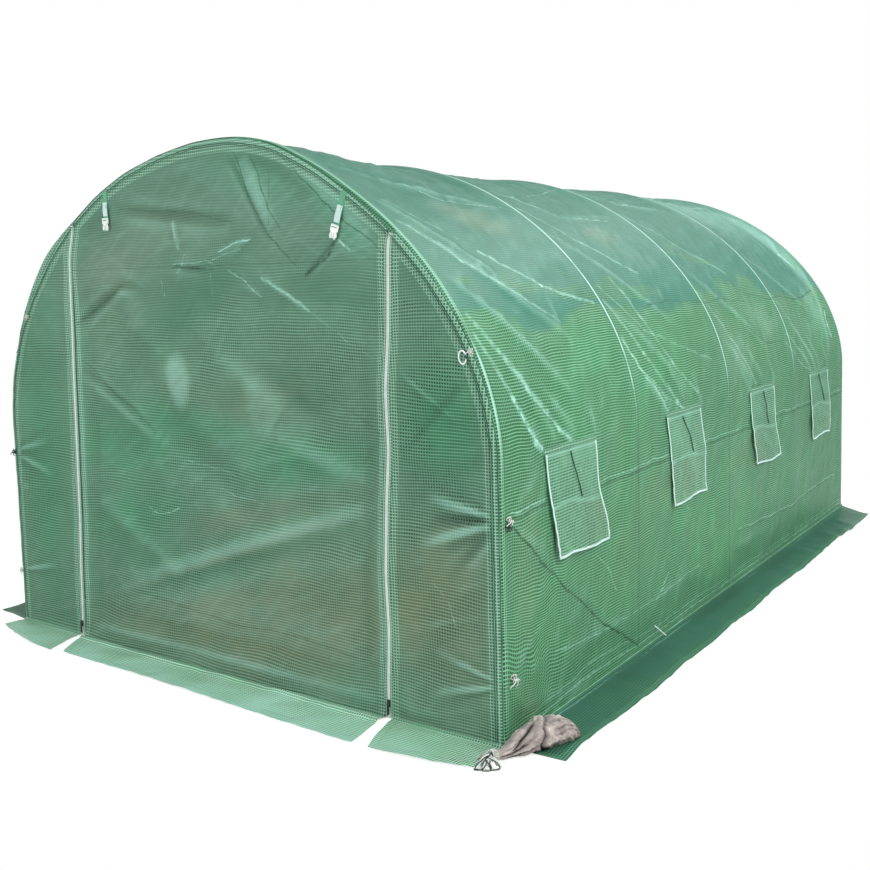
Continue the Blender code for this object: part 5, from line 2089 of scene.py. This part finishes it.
@dataclass
class HangingStrap:
    """A webbing strap with a doubled end through the bar of its half buckle.

    Attributes:
        top_x: where each strap is sewn on.
        foot: the (x, z) at which each one reaches its buckle.
    """

    finishes: Finishes
    repeat: Repeater
    side: Side
    width: float = 0.0245
    thick: float = 0.0016
    top_x: Pair = (-0.548, 0.700)
    foot: tuple[Pair, Pair] = ((-0.546, 1.762), (0.662, 1.680))
    out: Triple = (0.0, -1.0, 0.0)

    def line(self, share: Array, lift: Any, shift: float = 0.0) -> Array:
        """A line down the strap.

        Args:
            share: shares of its length.
            lift: how far it stands off the gable.
            shift: how far it is moved across.

        Returns:
            Points at the shares.
        """
        index = list(Side).index(self.side)
        top_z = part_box(f"strap_{self.side.label}")[1].z - 0.0005
        foot_x, foot_z = self.foot[index]
        return vectors(blend(self.top_x[index], foot_x, share) + shift, -(SIZE.face + 0.0005) - lift,
                       blend(top_z, foot_z, share))

    def build(self) -> None:
        """The webbing, its doubled end and its stitches."""
        name, body = f"strap_{self.side.label}", f"{self.side.label}_strap"
        main = ribbon(f"{name}_webbing", self.line(np.linspace(0, 1.07, 26), self.thick), self.out,
                      self.width, self.thick, self.finishes.webbing, 7)
        seat(main, body, "webbing", name)
        share = np.linspace(0.42, 0.93, 14)
        lift = 2 * self.thick + 0.0006 + 0.002 * np.sin(math.pi * (share - 0.42) / 0.51)
        over = ribbon(f"{name}_doubled_end", self.line(share, lift), self.out, self.width * 0.98,
                      self.thick, self.finishes.edging, 7)
        seat(over, body, "webbing")
        rows = [self.line(np.linspace(0.44, 0.62, 12), 2 * self.thick + 0.0034, shift)
                for shift in (-0.0095, 0.0095)]
        stitches = self.repeat.along(f"{name}_stitches", rows, self.out, stitch_mesh(0.003), 0.0042,
                                     self.finishes.dark_stitch)
        seat(stitches, body, "webbing")


@dataclass
class WindowFlap:
    """A flap over a netted window, with pale edging on three sides, a top hem and a tie."""

    finishes: Finishes
    repeat: Repeater
    side: Side
    bay: int
    width: float = 0.36
    top: float = 0.899
    foot: float = 0.525
    lean: float = 0.07
    edging: float = 0.0085
    tie_length: float = 0.178
    tie_diameter: float = 0.0042
    net: tuple[Pair, Pair] = ((-0.148, 0.552), (0.148, 0.878))
    hem_z: float = 0.9105

    def __post_init__(self) -> None:
        """Works out its names, place and height, and the seed of its ripples."""
        self.label = f"{self.side.label}_{self.bay + 1}"
        self.body = f"flap_{self.label}"
        self.centre = BAYS[self.bay]
        self.seed = 41 + self.bay * 2 + (self.side is Side.LEFT)
        self.out = (self.side.value, 0.0, 0.0)
        self.tall = self.top - self.foot

    def surface(self, a: Array, b: Array, lift: float = 0.0) -> Array:
        """Points over the flap's outer face.

        Args:
            a: 0 to 1 towards the back.
            b: 0 to 1 from the foot up.
            lift: how far they are lifted off it.

        Returns:
            The points.
        """
        phase = self.seed * 1.7
        wave = np.sin(5.5 * a + phase)
        sideways = 0.014 * np.sin(6.4 * b + phase) * (1 - 0.8 * b)
        sideways = sideways + 0.020 * (a - 0.5) * np.sin(7 * b + phase) * (1 - b)
        y = self.centre + (a - 0.5) * self.width + self.lean * (0.5 - b) + sideways
        z = self.foot + self.tall * b + 0.009 * wave * (1 - b)
        out = 0.0026 + 0.010 * (1 - b) ** 1.5 * (0.55 + 0.45 * wave)
        out = out + 0.0024 * np.abs(ripples(a * 0.36, b * 0.37, self.seed, 0.25, 0.05, 8, True)) * (1 - b)
        out = out + 0.0035 * bell(b - 0.48 - 0.03 * np.sin(5 * a), 0.0, 0.02) * (1 - b)
        return vectors(self.side.value * (SIZE.half + out + lift), y, np.minimum(z, self.top))

    def sheet(self) -> Object:
        """The film of the flap.

        Returns:
            The object.
        """
        a, b = np.meshgrid(np.linspace(0, 1, 40), np.linspace(0, 1, 42))
        grid = self.surface(a, b)
        edge = np.minimum(np.minimum(a, 1 - a) * self.width, b * self.tall) + 0.062
        # Paler along the ridge across its middle, a painted highlight, and at its top; browner towards its
        # foot.
        tone = 0.30 * bell(b - 0.48 - 0.03 * np.sin(5 * a), 0.0, 0.018) + 0.35 * smooth(0.955, 0.985, b)
        tone = tone + 0.05 * ripples(a, b, self.seed + 9, 0.5, 0.1, 6)
        warm = 0.42 * smooth(0.62, 0.30, b) * (0.6 + 0.4 * np.sin(5 * a + self.seed))
        fields = {"cloth": vectors(grid[..., 1], grid[..., 2], edge), "worn": vectors(tone, 1.0, 0.0),
                  "tint": vectors(warm, 0.0, 0.0)}
        made = shell(f"window_flap_{self.label}_film", grid, fields, self.finishes.flap, 0.0008,
                     flip=self.side is Side.LEFT)
        return seat(made, self.body, "flap_film", f"window_flap_{self.label}")

    def sides(self, inset: float, end: float) -> list[tuple[Array, Array]]:
        """Lines along the three free edges.

        Args:
            inset: how far inside them, in half widths of the edging.
            end: how far up they run, as a share.

        Returns:
            The a and b of each.
        """
        steps = np.linspace(0, 1, 40)
        flat = 0 * steps
        inset_a, inset_b = (self.edging / 2 / reach * inset for reach in (self.width, self.tall))
        return [(flat + inset_a, steps * end), (steps, flat + inset_b), (flat + 1 - inset_a, steps * end)]

    def binding(self) -> list[Object]:
        """The edging folded round the free edges, and its stitches.

        Returns:
            Both objects.
        """
        strips = [ribbon("edge", self.surface(a, b, 0.0009 + 0.0003 * (number == 1)), self.out, self.edging,
                         0.0022, self.finishes.edging, 3)
                  for number, (a, b) in enumerate(self.sides(0.7, 1.0))]
        edging = joined(f"window_flap_{self.label}_edging", strips)
        rows = [self.surface(a, b, 0.0012) for a, b in self.sides(1.5, 0.965)]
        stitches = self.repeat.along(f"window_flap_{self.label}_stitches", rows, self.out,
                                     stitch_mesh(), 0.0068, self.finishes.dark_stitch)
        return [seat(made, self.body, "flap_film") for made in (edging, stitches)]

    def tie(self) -> None:
        """The cord that holds the rolled flap, hanging loose from the top seam."""
        steps = np.linspace(0, 1, 34)
        drop = self.tie_length / self.tall * 0.955
        sway = (0.30 + 0.05 * math.cos(self.seed)) * 0.9 * 0.62
        a = 0.47 + 0.04 * math.sin(self.seed) + sway * steps ** 1.15
        path = self.surface(a + 0.012 * np.sin(5 * steps + self.seed), 0.972 - drop * steps,
                            self.tie_diameter / 2 + 0.0007)
        path[:, 0] += self.side.value * 0.004 * np.sin(math.pi * steps) ** 2
        made = tube(f"window_tie_{self.label}", path, self.tie_diameter / 2, self.finishes.dark_cord)
        seat(made, self.body, "tie_cord")

    def netting(self) -> None:
        """The netting in the cover's window."""
        a, b = np.meshgrid(np.linspace(-1, 1, 24), np.linspace(0, 1, 24))
        out = -0.0022 - 0.002 * np.sin(math.pi * b) * np.cos(a * math.pi / 2)
        (_, low), (reach, high) = self.net
        grid = vectors(self.side.value * (SIZE.half + out), self.centre + a * reach, blend(low, high, b))
        cloth = vectors(grid[..., 1], grid[..., 2], 0.1)
        made = shell(f"window_net_{self.label}", grid, {"cloth": cloth}, self.finishes.net, 0.0005,
                     flip=self.side is Side.LEFT)
        seat(made, TUNNEL, "cover_film")

    def hem(self) -> None:
        """The hem that joins the flap to the wall, just above it."""
        steps = np.linspace(0, 1, 30)
        path = vectors(self.side.value * (SIZE.half + 0.0018),
                       self.centre + (steps - 0.5) * (self.width + 0.02) - self.lean / 2,
                       self.hem_z + 0.0012 * np.sin(11 * steps + self.seed))
        made = ribbon(f"window_hem_{self.label}", path, self.out, 0.020, 0.0014, self.finishes.flap, 4, 0.02)
        seat(made, TUNNEL, "cover_film")

    def build(self) -> None:
        """All its pieces."""
        sheet, pieces = self.sheet(), self.binding()
        self.tie()
        self.netting()
        self.hem()


@dataclass
class Fittings:
    """Lashings at the hoops, the open ring on the arch and the peg at the side."""

    finishes: Finishes
    cord: float = 0.0019

    def lashing(self, name: str, centre: Triple, finish: Material, size: float,
                on_wall: bool) -> None:
        """A short cord knotted round the hoop through the corner of the film, with its cut ends.

        Args:
            name: its name.
            centre: where its knot is.
            finish: its material.
            size: the knot's reach.
            on_wall: whether it faces sideways.
        """
        steps = np.linspace(0, 1, 12)
        paths = [knot(size, 2.2, 90)[:, [0, 2, 1]]]
        for way, drop in ((-1, 1.3), (1, 0.9), (0.4, 1.9)):
            paths.append(vectors(way * steps * size * 1.9 + 0.3 * size * np.sin(4 * steps),
                                 -0.003 - 0.006 * np.sin(math.pi * steps),
                                 -size * (0.3 + drop * steps ** 1.5)))
        if on_wall:
            paths = [path[:, [1, 0, 2]] * (-1, 1, 1) for path in paths]
        pieces = [tube("part", np.array(centre) + path, self.cord, finish, 7) for path in paths]
        seat(joined(name, pieces), TUNNEL, "tie_cord")

    def build(self) -> None:
        """All the small fittings."""
        front, wall = -SIZE.face - 0.006, SIZE.half + 0.006
        white, dark = self.finishes.white_cord, self.finishes.dark_cord
        for name, centre, finish, size in (
                ("lashing_right_mid", (wall, -1.955, 0.732), white, 0.010),
                ("lashing_right_mid_loop", (wall, -1.962, 0.712), dark, 0.008),
                ("lashing_right_low", (wall, -1.945, 0.214), white, 0.014),
                ("lashing_left_mid", (-1.272, front, 0.772), dark, 0.010),
                ("lashing_left_low", (-1.274, front, 0.235), white, 0.010),
                ("lashing_left_arch", (-1.112, front, 1.372), white, 0.008),
                ("lashing_right_arch", (1.196, front, 1.268), white, 0.008)):
            self.lashing(name, centre, finish, size, centre[0] == wall)
        turn, steps = np.linspace(0.6, 2 * math.pi - 0.3, 40), np.linspace(0, 1, 10)
        ring = vectors(1.166 + 0.014 * np.cos(turn), front - 0.002 * np.sin(turn),
                       1.246 + 0.021 * np.sin(turn))
        peg = vectors(SIZE.half + 0.004 + 0.022 * steps, -0.862 + 0.062 * steps, 0.066 - 0.056 * steps)
        for name, path, radius, sides in (("arch_open_ring", ring, 0.0027, 10),
                                          ("side_peg", peg, 0.0022, 8)):
            seat(tube(name, path, radius, self.finishes.buckle, sides), TUNNEL, "buckle_plastic")


@dataclass
class BallastSack:
    """A slack cotton sack, gathered at its neck by a cord, lying on the skirt's corner.

    Attributes:
        neck, far: its two ends.
        floor, low: the least heights of the sack and of its bows.
        cloth: metres of cloth along it, and for each radian round it.
        swell: its thickness at shares of its length.
        dents: its folds, each a start and a drift round it, a width, a depth, and the shares of its
            length between which it runs.
        loops: the bows, each (side, height) from the knot.
        ends: how far the strings reach sideways, and how low they lie.
    """

    finishes: Finishes
    neck: Triple = (1.288, -2.132, 0.033)
    far: Triple = (1.448, -1.802, 0.042)
    half_width: float = 0.062
    half_height: float = 0.049
    floor: float = 0.0065
    low: float = 0.0075
    cloth: Pair = (0.33, 0.05)
    swell: tuple[Pair, ...] = ((0.0, 0.20), (0.02, 0.36), (0.05, 0.30), (0.09, 0.23), (0.14, 0.24),
                               (0.20, 0.36), (0.28, 0.54), (0.38, 0.76), (0.50, 0.96), (0.60, 1.06),
                               (0.68, 1.08), (0.78, 1.00), (0.88, 0.80), (0.95, 0.55), (0.985, 0.30),
                               (1.0, 0.06))
    dents: tuple[tuple[float, ...], ...] = (
        (-0.62, 4.20, 0.120, 0.34, 0.24, 0.62), (-0.10, 0.80, 0.110, 0.32, 0.10, 0.46),
        (0.55, 1.20, 0.080, 0.12, 0.13, 0.42), (1.55, 1.20, 0.100, 0.12, 0.13, 0.52),
        (-0.70, 0.70, 0.120, 0.14, 0.14, 0.50), (2.40, 1.00, 0.140, 0.14, 0.14, 0.60),
        (3.50, 0.60, 0.140, 0.14, 0.14, 0.70), (4.60, 0.50, 0.140, 0.14, 0.14, 0.70),
        (-0.10, 0.55, 0.100, 0.10, 0.60, 0.97), (1.00, 0.40, 0.110, 0.12, 0.64, 0.97),
        (0.46, 0.30, 0.080, 0.10, 0.64, 0.99), (1.75, 0.10, 0.100, 0.10, 0.66, 0.98),
        (0.72, 0.35, 0.060, 0.08, 0.70, 0.99), (0.20, 0.50, 0.060, 0.07, 0.30, 0.56))
    loops: tuple[tuple[Pair, ...], ...] = (
        ((0, .040), (-.018, .038), (-.036, .024), (-.044, .009), (-.032, .008), (-.020, .016),
         (-.010, .028), (0, .040)),
        ((0, .036), (-.008, .020), (.002, .008), (.018, .008), (.027, .011), (.020, .020), (.010, .030),
         (0, .036)),
        ((-.010, .034), (-.022, .018), (-.020, .008), (-.004, .009), (-.004, .022), (-.010, .034)))
    ends: tuple[Pair, ...] = ((-0.056, 0.008), (-0.046, 0.0075), (0.030, 0.0075))

    def __post_init__(self) -> None:
        """Works out the neck, the way to the far end, and the sideways and upward directions."""
        self.start = np.array(self.neck)
        self.along = np.array(self.far) - self.start
        self.across = unit(np.array([self.along[1], -self.along[0], 0.0]))
        self.up = np.array([0.0, 0.0, 1.0])

    def relief(self, t: Array, turn: Array) -> tuple[Array, Array, Array]:
        """The sack's thickness at each place.

        Args:
            t: shares of its length.
            turn: angles round it.

        Returns:
            The thickness without folds, the radius with them, and the painted shade of folds and underside.
        """
        u, v = t * self.cloth[0], turn * self.cloth[1]
        size = np.interp(t, *zip(*self.swell))
        pleats = 0.18 * bell(t, 0.12, 0.14) * (np.abs(np.sin(5.5 * (turn + 1.5 * t))) ** 0.5 - 0.6)
        deep = np.zeros_like(t)
        for start, drift, width, depth, begin, end in self.dents:
            line = start + drift * t + 0.08 * np.sin(17 * t) + 0.04 * np.sin(41 * t)
            off = np.abs((turn - line + math.pi) % (2 * math.pi) - math.pi)
            reach = smooth(begin, begin + 0.10, t) * (1 - smooth(end - 0.14, end, t))
            deep = deep + depth * np.exp(-(off / width) ** 1.4) * reach
        past = t - (0.605 - 0.080 * np.cos(turn + 0.35) + 0.012 * np.sin(5 * turn))
        near = 0.5 + 0.5 * np.cos(turn + 0.5)
        deep = deep + (0.10 + 0.16 * near) * np.exp(-(np.abs(past) / 0.016) ** 1.3)
        size = size * (1 + 0.13 * near * smooth(0.30, 0.03, -past) * smooth(0.0, 0.02, -past))
        size = size * (1 - 0.10 * near * smooth(0.0, 0.02, past) * smooth(0.40, 0.10, past))
        lumps = 0.060 * ripples(u, v, 53, 0.16, 0.03, 9, True) * smooth(0.1, 0.3, t)
        lumps = lumps + 0.030 * ripples(u, v, 59, 0.05, 0.012, 9, True)
        # Painted shade: dark in deep folds, pleats and under the sack, lighter on raised lumps; darker
        # towards the far end.
        shade = deep * 3.4 + np.clip(-pleats * 3, 0, 0.5) - lumps * 3.5 - 0.08
        shade = shade + 0.30 * smooth(-0.2, -0.8, np.sin(turn)) + 0.65 * smooth(0.88, 0.99, t)
        return size, size * (1 + pleats - deep + lumps), np.clip(shade, 0, 0.96)

    def body(self) -> None:
        """The sack itself."""
        share = np.concatenate([np.linspace(0, 0.2, 26)[:-1], np.linspace(0.2, 0.9, 80)[:-1],
                                np.linspace(0.9, 1.0, 20)])
        t, turn = np.meshgrid(share, np.linspace(0, 2 * math.pi, 128, endpoint=False), indexing="ij")
        size, radius, shade = self.relief(t, turn)
        centre = self.start + self.along * t[..., None]
        centre[..., 2] = np.maximum(0.016, 0.046 * size)
        points = (centre + self.across * (self.half_width * radius * np.cos(turn))[..., None]
                  + self.up * (self.half_height * radius * np.sin(turn))[..., None])
        points[..., 2] = np.maximum(points[..., 2], self.floor + 0.0006 * np.sin(9 * turn) ** 2)
        faces = grid_faces(*t.shape, True).reshape(-1, 4).tolist()
        columns, count = t.shape[1], t.size
        for column in range(columns):
            after = (column + 1) % columns
            faces.append([column, count, after])
            faces.append([count - columns + column, count - columns + after, count + 1])
        caps = [points[0].mean(0) + self.along * 0.012, points[-1].mean(0) + self.along * 0.004]
        cloth = vectors(t * self.cloth[0], turn * self.cloth[1], shade).reshape(-1, 3)
        made = mesh_object("ballast_sack", np.concatenate([points.reshape(-1, 3), caps]), faces,
                           self.finishes.sack, {"cloth": np.concatenate([cloth, np.zeros((2, 3))])}, 70)
        turn_outwards(made.data)
        seat(made, TUNNEL, "bag_cloth", "ballast_bag")

    def tie(self) -> None:
        """The cord wound round the neck, knotted on top with three ends."""
        way, cord = unit(self.along), self.finishes.white_cord
        steps, run = np.linspace(0, 1, 150), np.linspace(0, 1, 20)
        turn = 2 * math.pi * 3.2 * steps
        start = self.start + self.along * 0.095
        start[2] = 0.018
        wide, tall = self.half_width * 0.24 + 0.0024, self.half_height * 0.24 + 0.0024
        path = (start + way * (0.016 * steps)[:, None]
                + self.across * (wide * np.cos(turn) * (1 + 0.04 * np.sin(5 * turn)))[:, None]
                + self.up * (tall * np.sin(turn))[:, None])
        path[:, 2] = np.maximum(path[:, 2], self.floor)
        pieces = [tube("coil", path, 0.0018, cord)]
        top = start + self.up * (tall + 0.003) + way * 0.006
        for number, (x, y) in enumerate(((-0.045, -0.028), (0.020, -0.052), (-0.018, -0.040))):
            rise = 0.010 * np.sin(math.pi * np.clip(run * 1.6, 0, 1)) - (top[2] - 0.0068) * run ** 1.4
            tail = top + vectors(x * run + 0.006 * np.sin(6 * run + number), y * run, rise)
            tail[:, 2] = np.maximum(tail[:, 2], 0.0068)
            pieces.append(tube("end", tail, 0.0017, cord))
        pieces.append(tube("knot", top + knot(0.009, 2, 60), 0.0018, cord))
        seat(joined("sack_tie", pieces), TUNNEL, "tie_cord", "ballast_tie")

    def bows(self) -> None:
        """The bows and strings before the neck."""
        right, near = np.array([0.832, 0.554, 0.0]), np.array([0.554, -0.832, 0.0])
        spot = np.array([self.neck[0] + 0.024, self.neck[1] + 0.018, 0.0])
        bows, strings = [], []
        for number, loop in enumerate(self.loops):
            fine = np.linspace(0, 1, 60)[:, None]
            beside, rise = np.split(curve_through(np.array(loop), 60), 2, 1)
            ahead = 0.018 + 0.030 * np.clip(1 - rise / 0.046, 0, 1) + 0.004 * number
            path = spot + right * beside + near * ahead
            path[:, 2:] = np.maximum(rise, self.low)
            out = near + self.up * 0.5 * np.cos(9 * fine)
            bows.append(ribbon("bow", path, out, 0.0105, 0.0009, self.finishes.tape, 4))
            loose = path + right * (0.005 * np.sin(11 * fine) - 0.004) + near * 0.004
            loose[:, 2] = np.maximum(loose[:, 2] * 1.06 - 0.001, self.low)
            strings.append(tube("string", loose, 0.0019, self.finishes.dark_cord, 6))
        for number, (reach, low) in enumerate(self.ends):
            fine = np.linspace(0, 1, 30)[:, None]
            path = spot + right * reach * fine + near * (0.020 + 0.024 * fine)
            path[:, 2:] = np.maximum(0.044 * (1 - fine) ** 1.3 + 0.006 * np.sin(7 * fine + number), low)
            strings.append(tube("string", path, 0.0019, self.finishes.dark_cord, 6))
        seat(joined("sack_bows", bows), TUNNEL, "tie_cord")
        seat(joined("sack_strings", strings), TUNNEL, "tie_cord")

    def build(self) -> None:
        """The sack and its cords."""
        self.body()
        self.tie()
        self.bows()


@dataclass
class TubeFrame:
    """The hoops, rails, braces, clamps, sliders and buckles, which stay as the solids are."""

    finishes: Finishes

    def build(self) -> None:
        """Gives each of them its finish."""
        table = {"side_clamp": self.finishes.clamp, "zip_slider": self.finishes.slider,
                 "buckle_": self.finishes.buckle}
        for start in ("arch_", "leg_", "brace_", "side_rail", "base_rail", "ridge_rail"):
            table[start] = self.finishes.tube
        for name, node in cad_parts.items():
            for start, finish in table.items():
                if name.startswith(start):
                    node.data.materials.clear()
                    node.data.materials.append(finish)
        log.info("frame dressed")


@dataclass
class Studio:
    """A pale floor, soft lights and the camera at the eye height of a person standing by."""

    eye: Triple = (3.0246, -4.691, 1.4929)
    azimuth: float = 33.659
    elevation: float = 5.377
    roll: float = -1.328
    lens: float = 43.33
    shift: Pair = (-0.0540, -0.0678)
    ambient: float = 0.62
    floor_reach: float = 30.0

    def camera(self) -> None:
        """The camera, before anything else, because cords are tested against its view."""
        data = bpy.data.cameras.new("eye")
        data.lens, data.sensor_width = self.lens, 36.0
        data.shift_x, data.shift_y = self.shift
        data.clip_end = 200.0
        made = shown("eye", data)
        made.matrix_world = Matrix.Translation(self.eye)
        for angle, axis in ((self.azimuth, "Z"), (90 - self.elevation, "X"), (self.roll, "Z")):
            made.matrix_world = made.matrix_world @ Matrix.Rotation(math.radians(angle), 4, axis)
        bpy.context.scene.camera = made

    def light(self, name: str, place: Triple, target: Triple, size: float, power: float,
              colour: Colour = (1.0, 1.0, 1.0)) -> None:
        """A soft square lamp.

        Args:
            name: its name.
            place: where it stands.
            target: the point that it looks at.
            size: the length of its sides.
            power: its watts.
            colour: its light.
        """
        data = bpy.data.lights.new(name, "AREA")
        data.size, data.energy, data.color = size, power, colour
        made = shown(name, data)
        made.location = place
        made.rotation_euler = (Vector(target) - Vector(place)).to_track_quat("-Z", "Y").to_euler()

    def floor(self) -> None:
        """The floor, white to the camera and pale to the light, that keeps the tunnel's shadow and has one
        painted under it.
        """
        tree = Shader("studio_floor")
        path = tree.node("ShaderNodeLightPath", None, None, "Is Camera Ray")
        body = tree.node("ShaderNodeBsdfDiffuse", None, {"Color": (0.80, 0.80, 0.79)})
        far = tree.vector("LENGTH", tree.place())
        x, y, _ = tree.split(tree.place())
        # Painted shadow: the floor's glow is turned almost off under the tunnel.
        under = tree.maths("ABSOLUTE", x).step(1.38, 1.22) * tree.maths("ABSOLUTE", y).step(2.10, 1.94)
        glow = tree.mix(under, (1.0, 1.0, 1.0), (0.02, 0.03, 0.02))
        bright = tree.node("ShaderNodeEmission", None, {"Color": glow, "Strength": self.ambient})
        both = tree.node("ShaderNodeAddShader", None, {0: body, 1: bright})
        white = tree.node("ShaderNodeEmission", None, {"Color": (1.0, 1.0, 1.0), "Strength": 1.0})
        seen = tree.node("ShaderNodeMixShader", None, {0: path, 1: body, 2: both})
        share = path * far.step(2.0, 3.2)
        material = tree.finish(tree.node("ShaderNodeMixShader", None, {0: share, 1: seen, 2: white}))
        mesh = bpy.data.meshes.new("studio_floor")
        corners = ((-1, -1), (1, -1), (1, 1), (-1, 1))
        mesh.from_pydata([(a * self.floor_reach, b * self.floor_reach, -0.001) for a, b in corners], [],
                         [(0, 1, 2, 3)])
        mesh.materials.append(material)
        shown("studio_floor", mesh)

    def world(self) -> None:
        """White behind the tunnel, and a plain pale light from all round."""
        tree = Shader("studio", bpy.data.worlds)
        plain, white = (tree.node("ShaderNodeBackground", None, {"Color": colour, "Strength": strength})
                        for colour, strength in (((0.97, 1.0, 1.0), self.ambient), ((1.0, 1.0, 1.0), 1.0)))
        seen, glossy = (tree.node("ShaderNodeLightPath", None, None, f"Is {ray} Ray")
                        for ray in ("Camera", "Glossy"))
        mix = tree.node("ShaderNodeMixShader", None, {0: seen.at_least(glossy), 1: plain, 2: white})
        bpy.context.scene.world = tree.finish(mix, "World")

    def build(self) -> None:
        """Floor, world and lamps."""
        self.floor()
        self.world()
        self.light("key", (6.5, -3.0, 6.0), (0.4, 0.0, 0.8), 3.0, 520.0, (1.0, 0.99, 0.96))
        self.light("top", (1.5, 4.0, 6.5), (0.0, 0.5, 1.2), 4.0, 320.0, (0.94, 1.0, 1.0))
        self.light("front", (-3.0, -7.5, 3.0), (0.0, -2.0, 0.9), 4.0, 150.0)
        bpy.context.scene.view_settings.view_transform = "Standard"


def main() -> None:
    """Builds the tunnel in order: camera, cords and windows, film, seams, fittings and stage."""
    logging.basicConfig(level=logging.INFO, format="%(name)s: %(message)s")
    studio = Studio()
    studio.camera()
    finishes, repeat = Finishes(), Repeater()
    for side in Side:
        for bay in range(len(BAYS)):
            WindowFlap(finishes, repeat, side, bay).build()
    Cover(finishes).build()
    FrontEnd(finishes).build()
    BackEnd(finishes).build()
    ArchSeams(finishes, repeat).build()
    for side in Side:
        ZipFastener(finishes, repeat, side).build()
        HangingStrap(finishes, repeat, side).build()
    Fittings(finishes).build()
    BallastSack(finishes).build()
    TubeFrame(finishes).build()
    studio.build()
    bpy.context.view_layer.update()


if __name__ == "__main__":
    main()
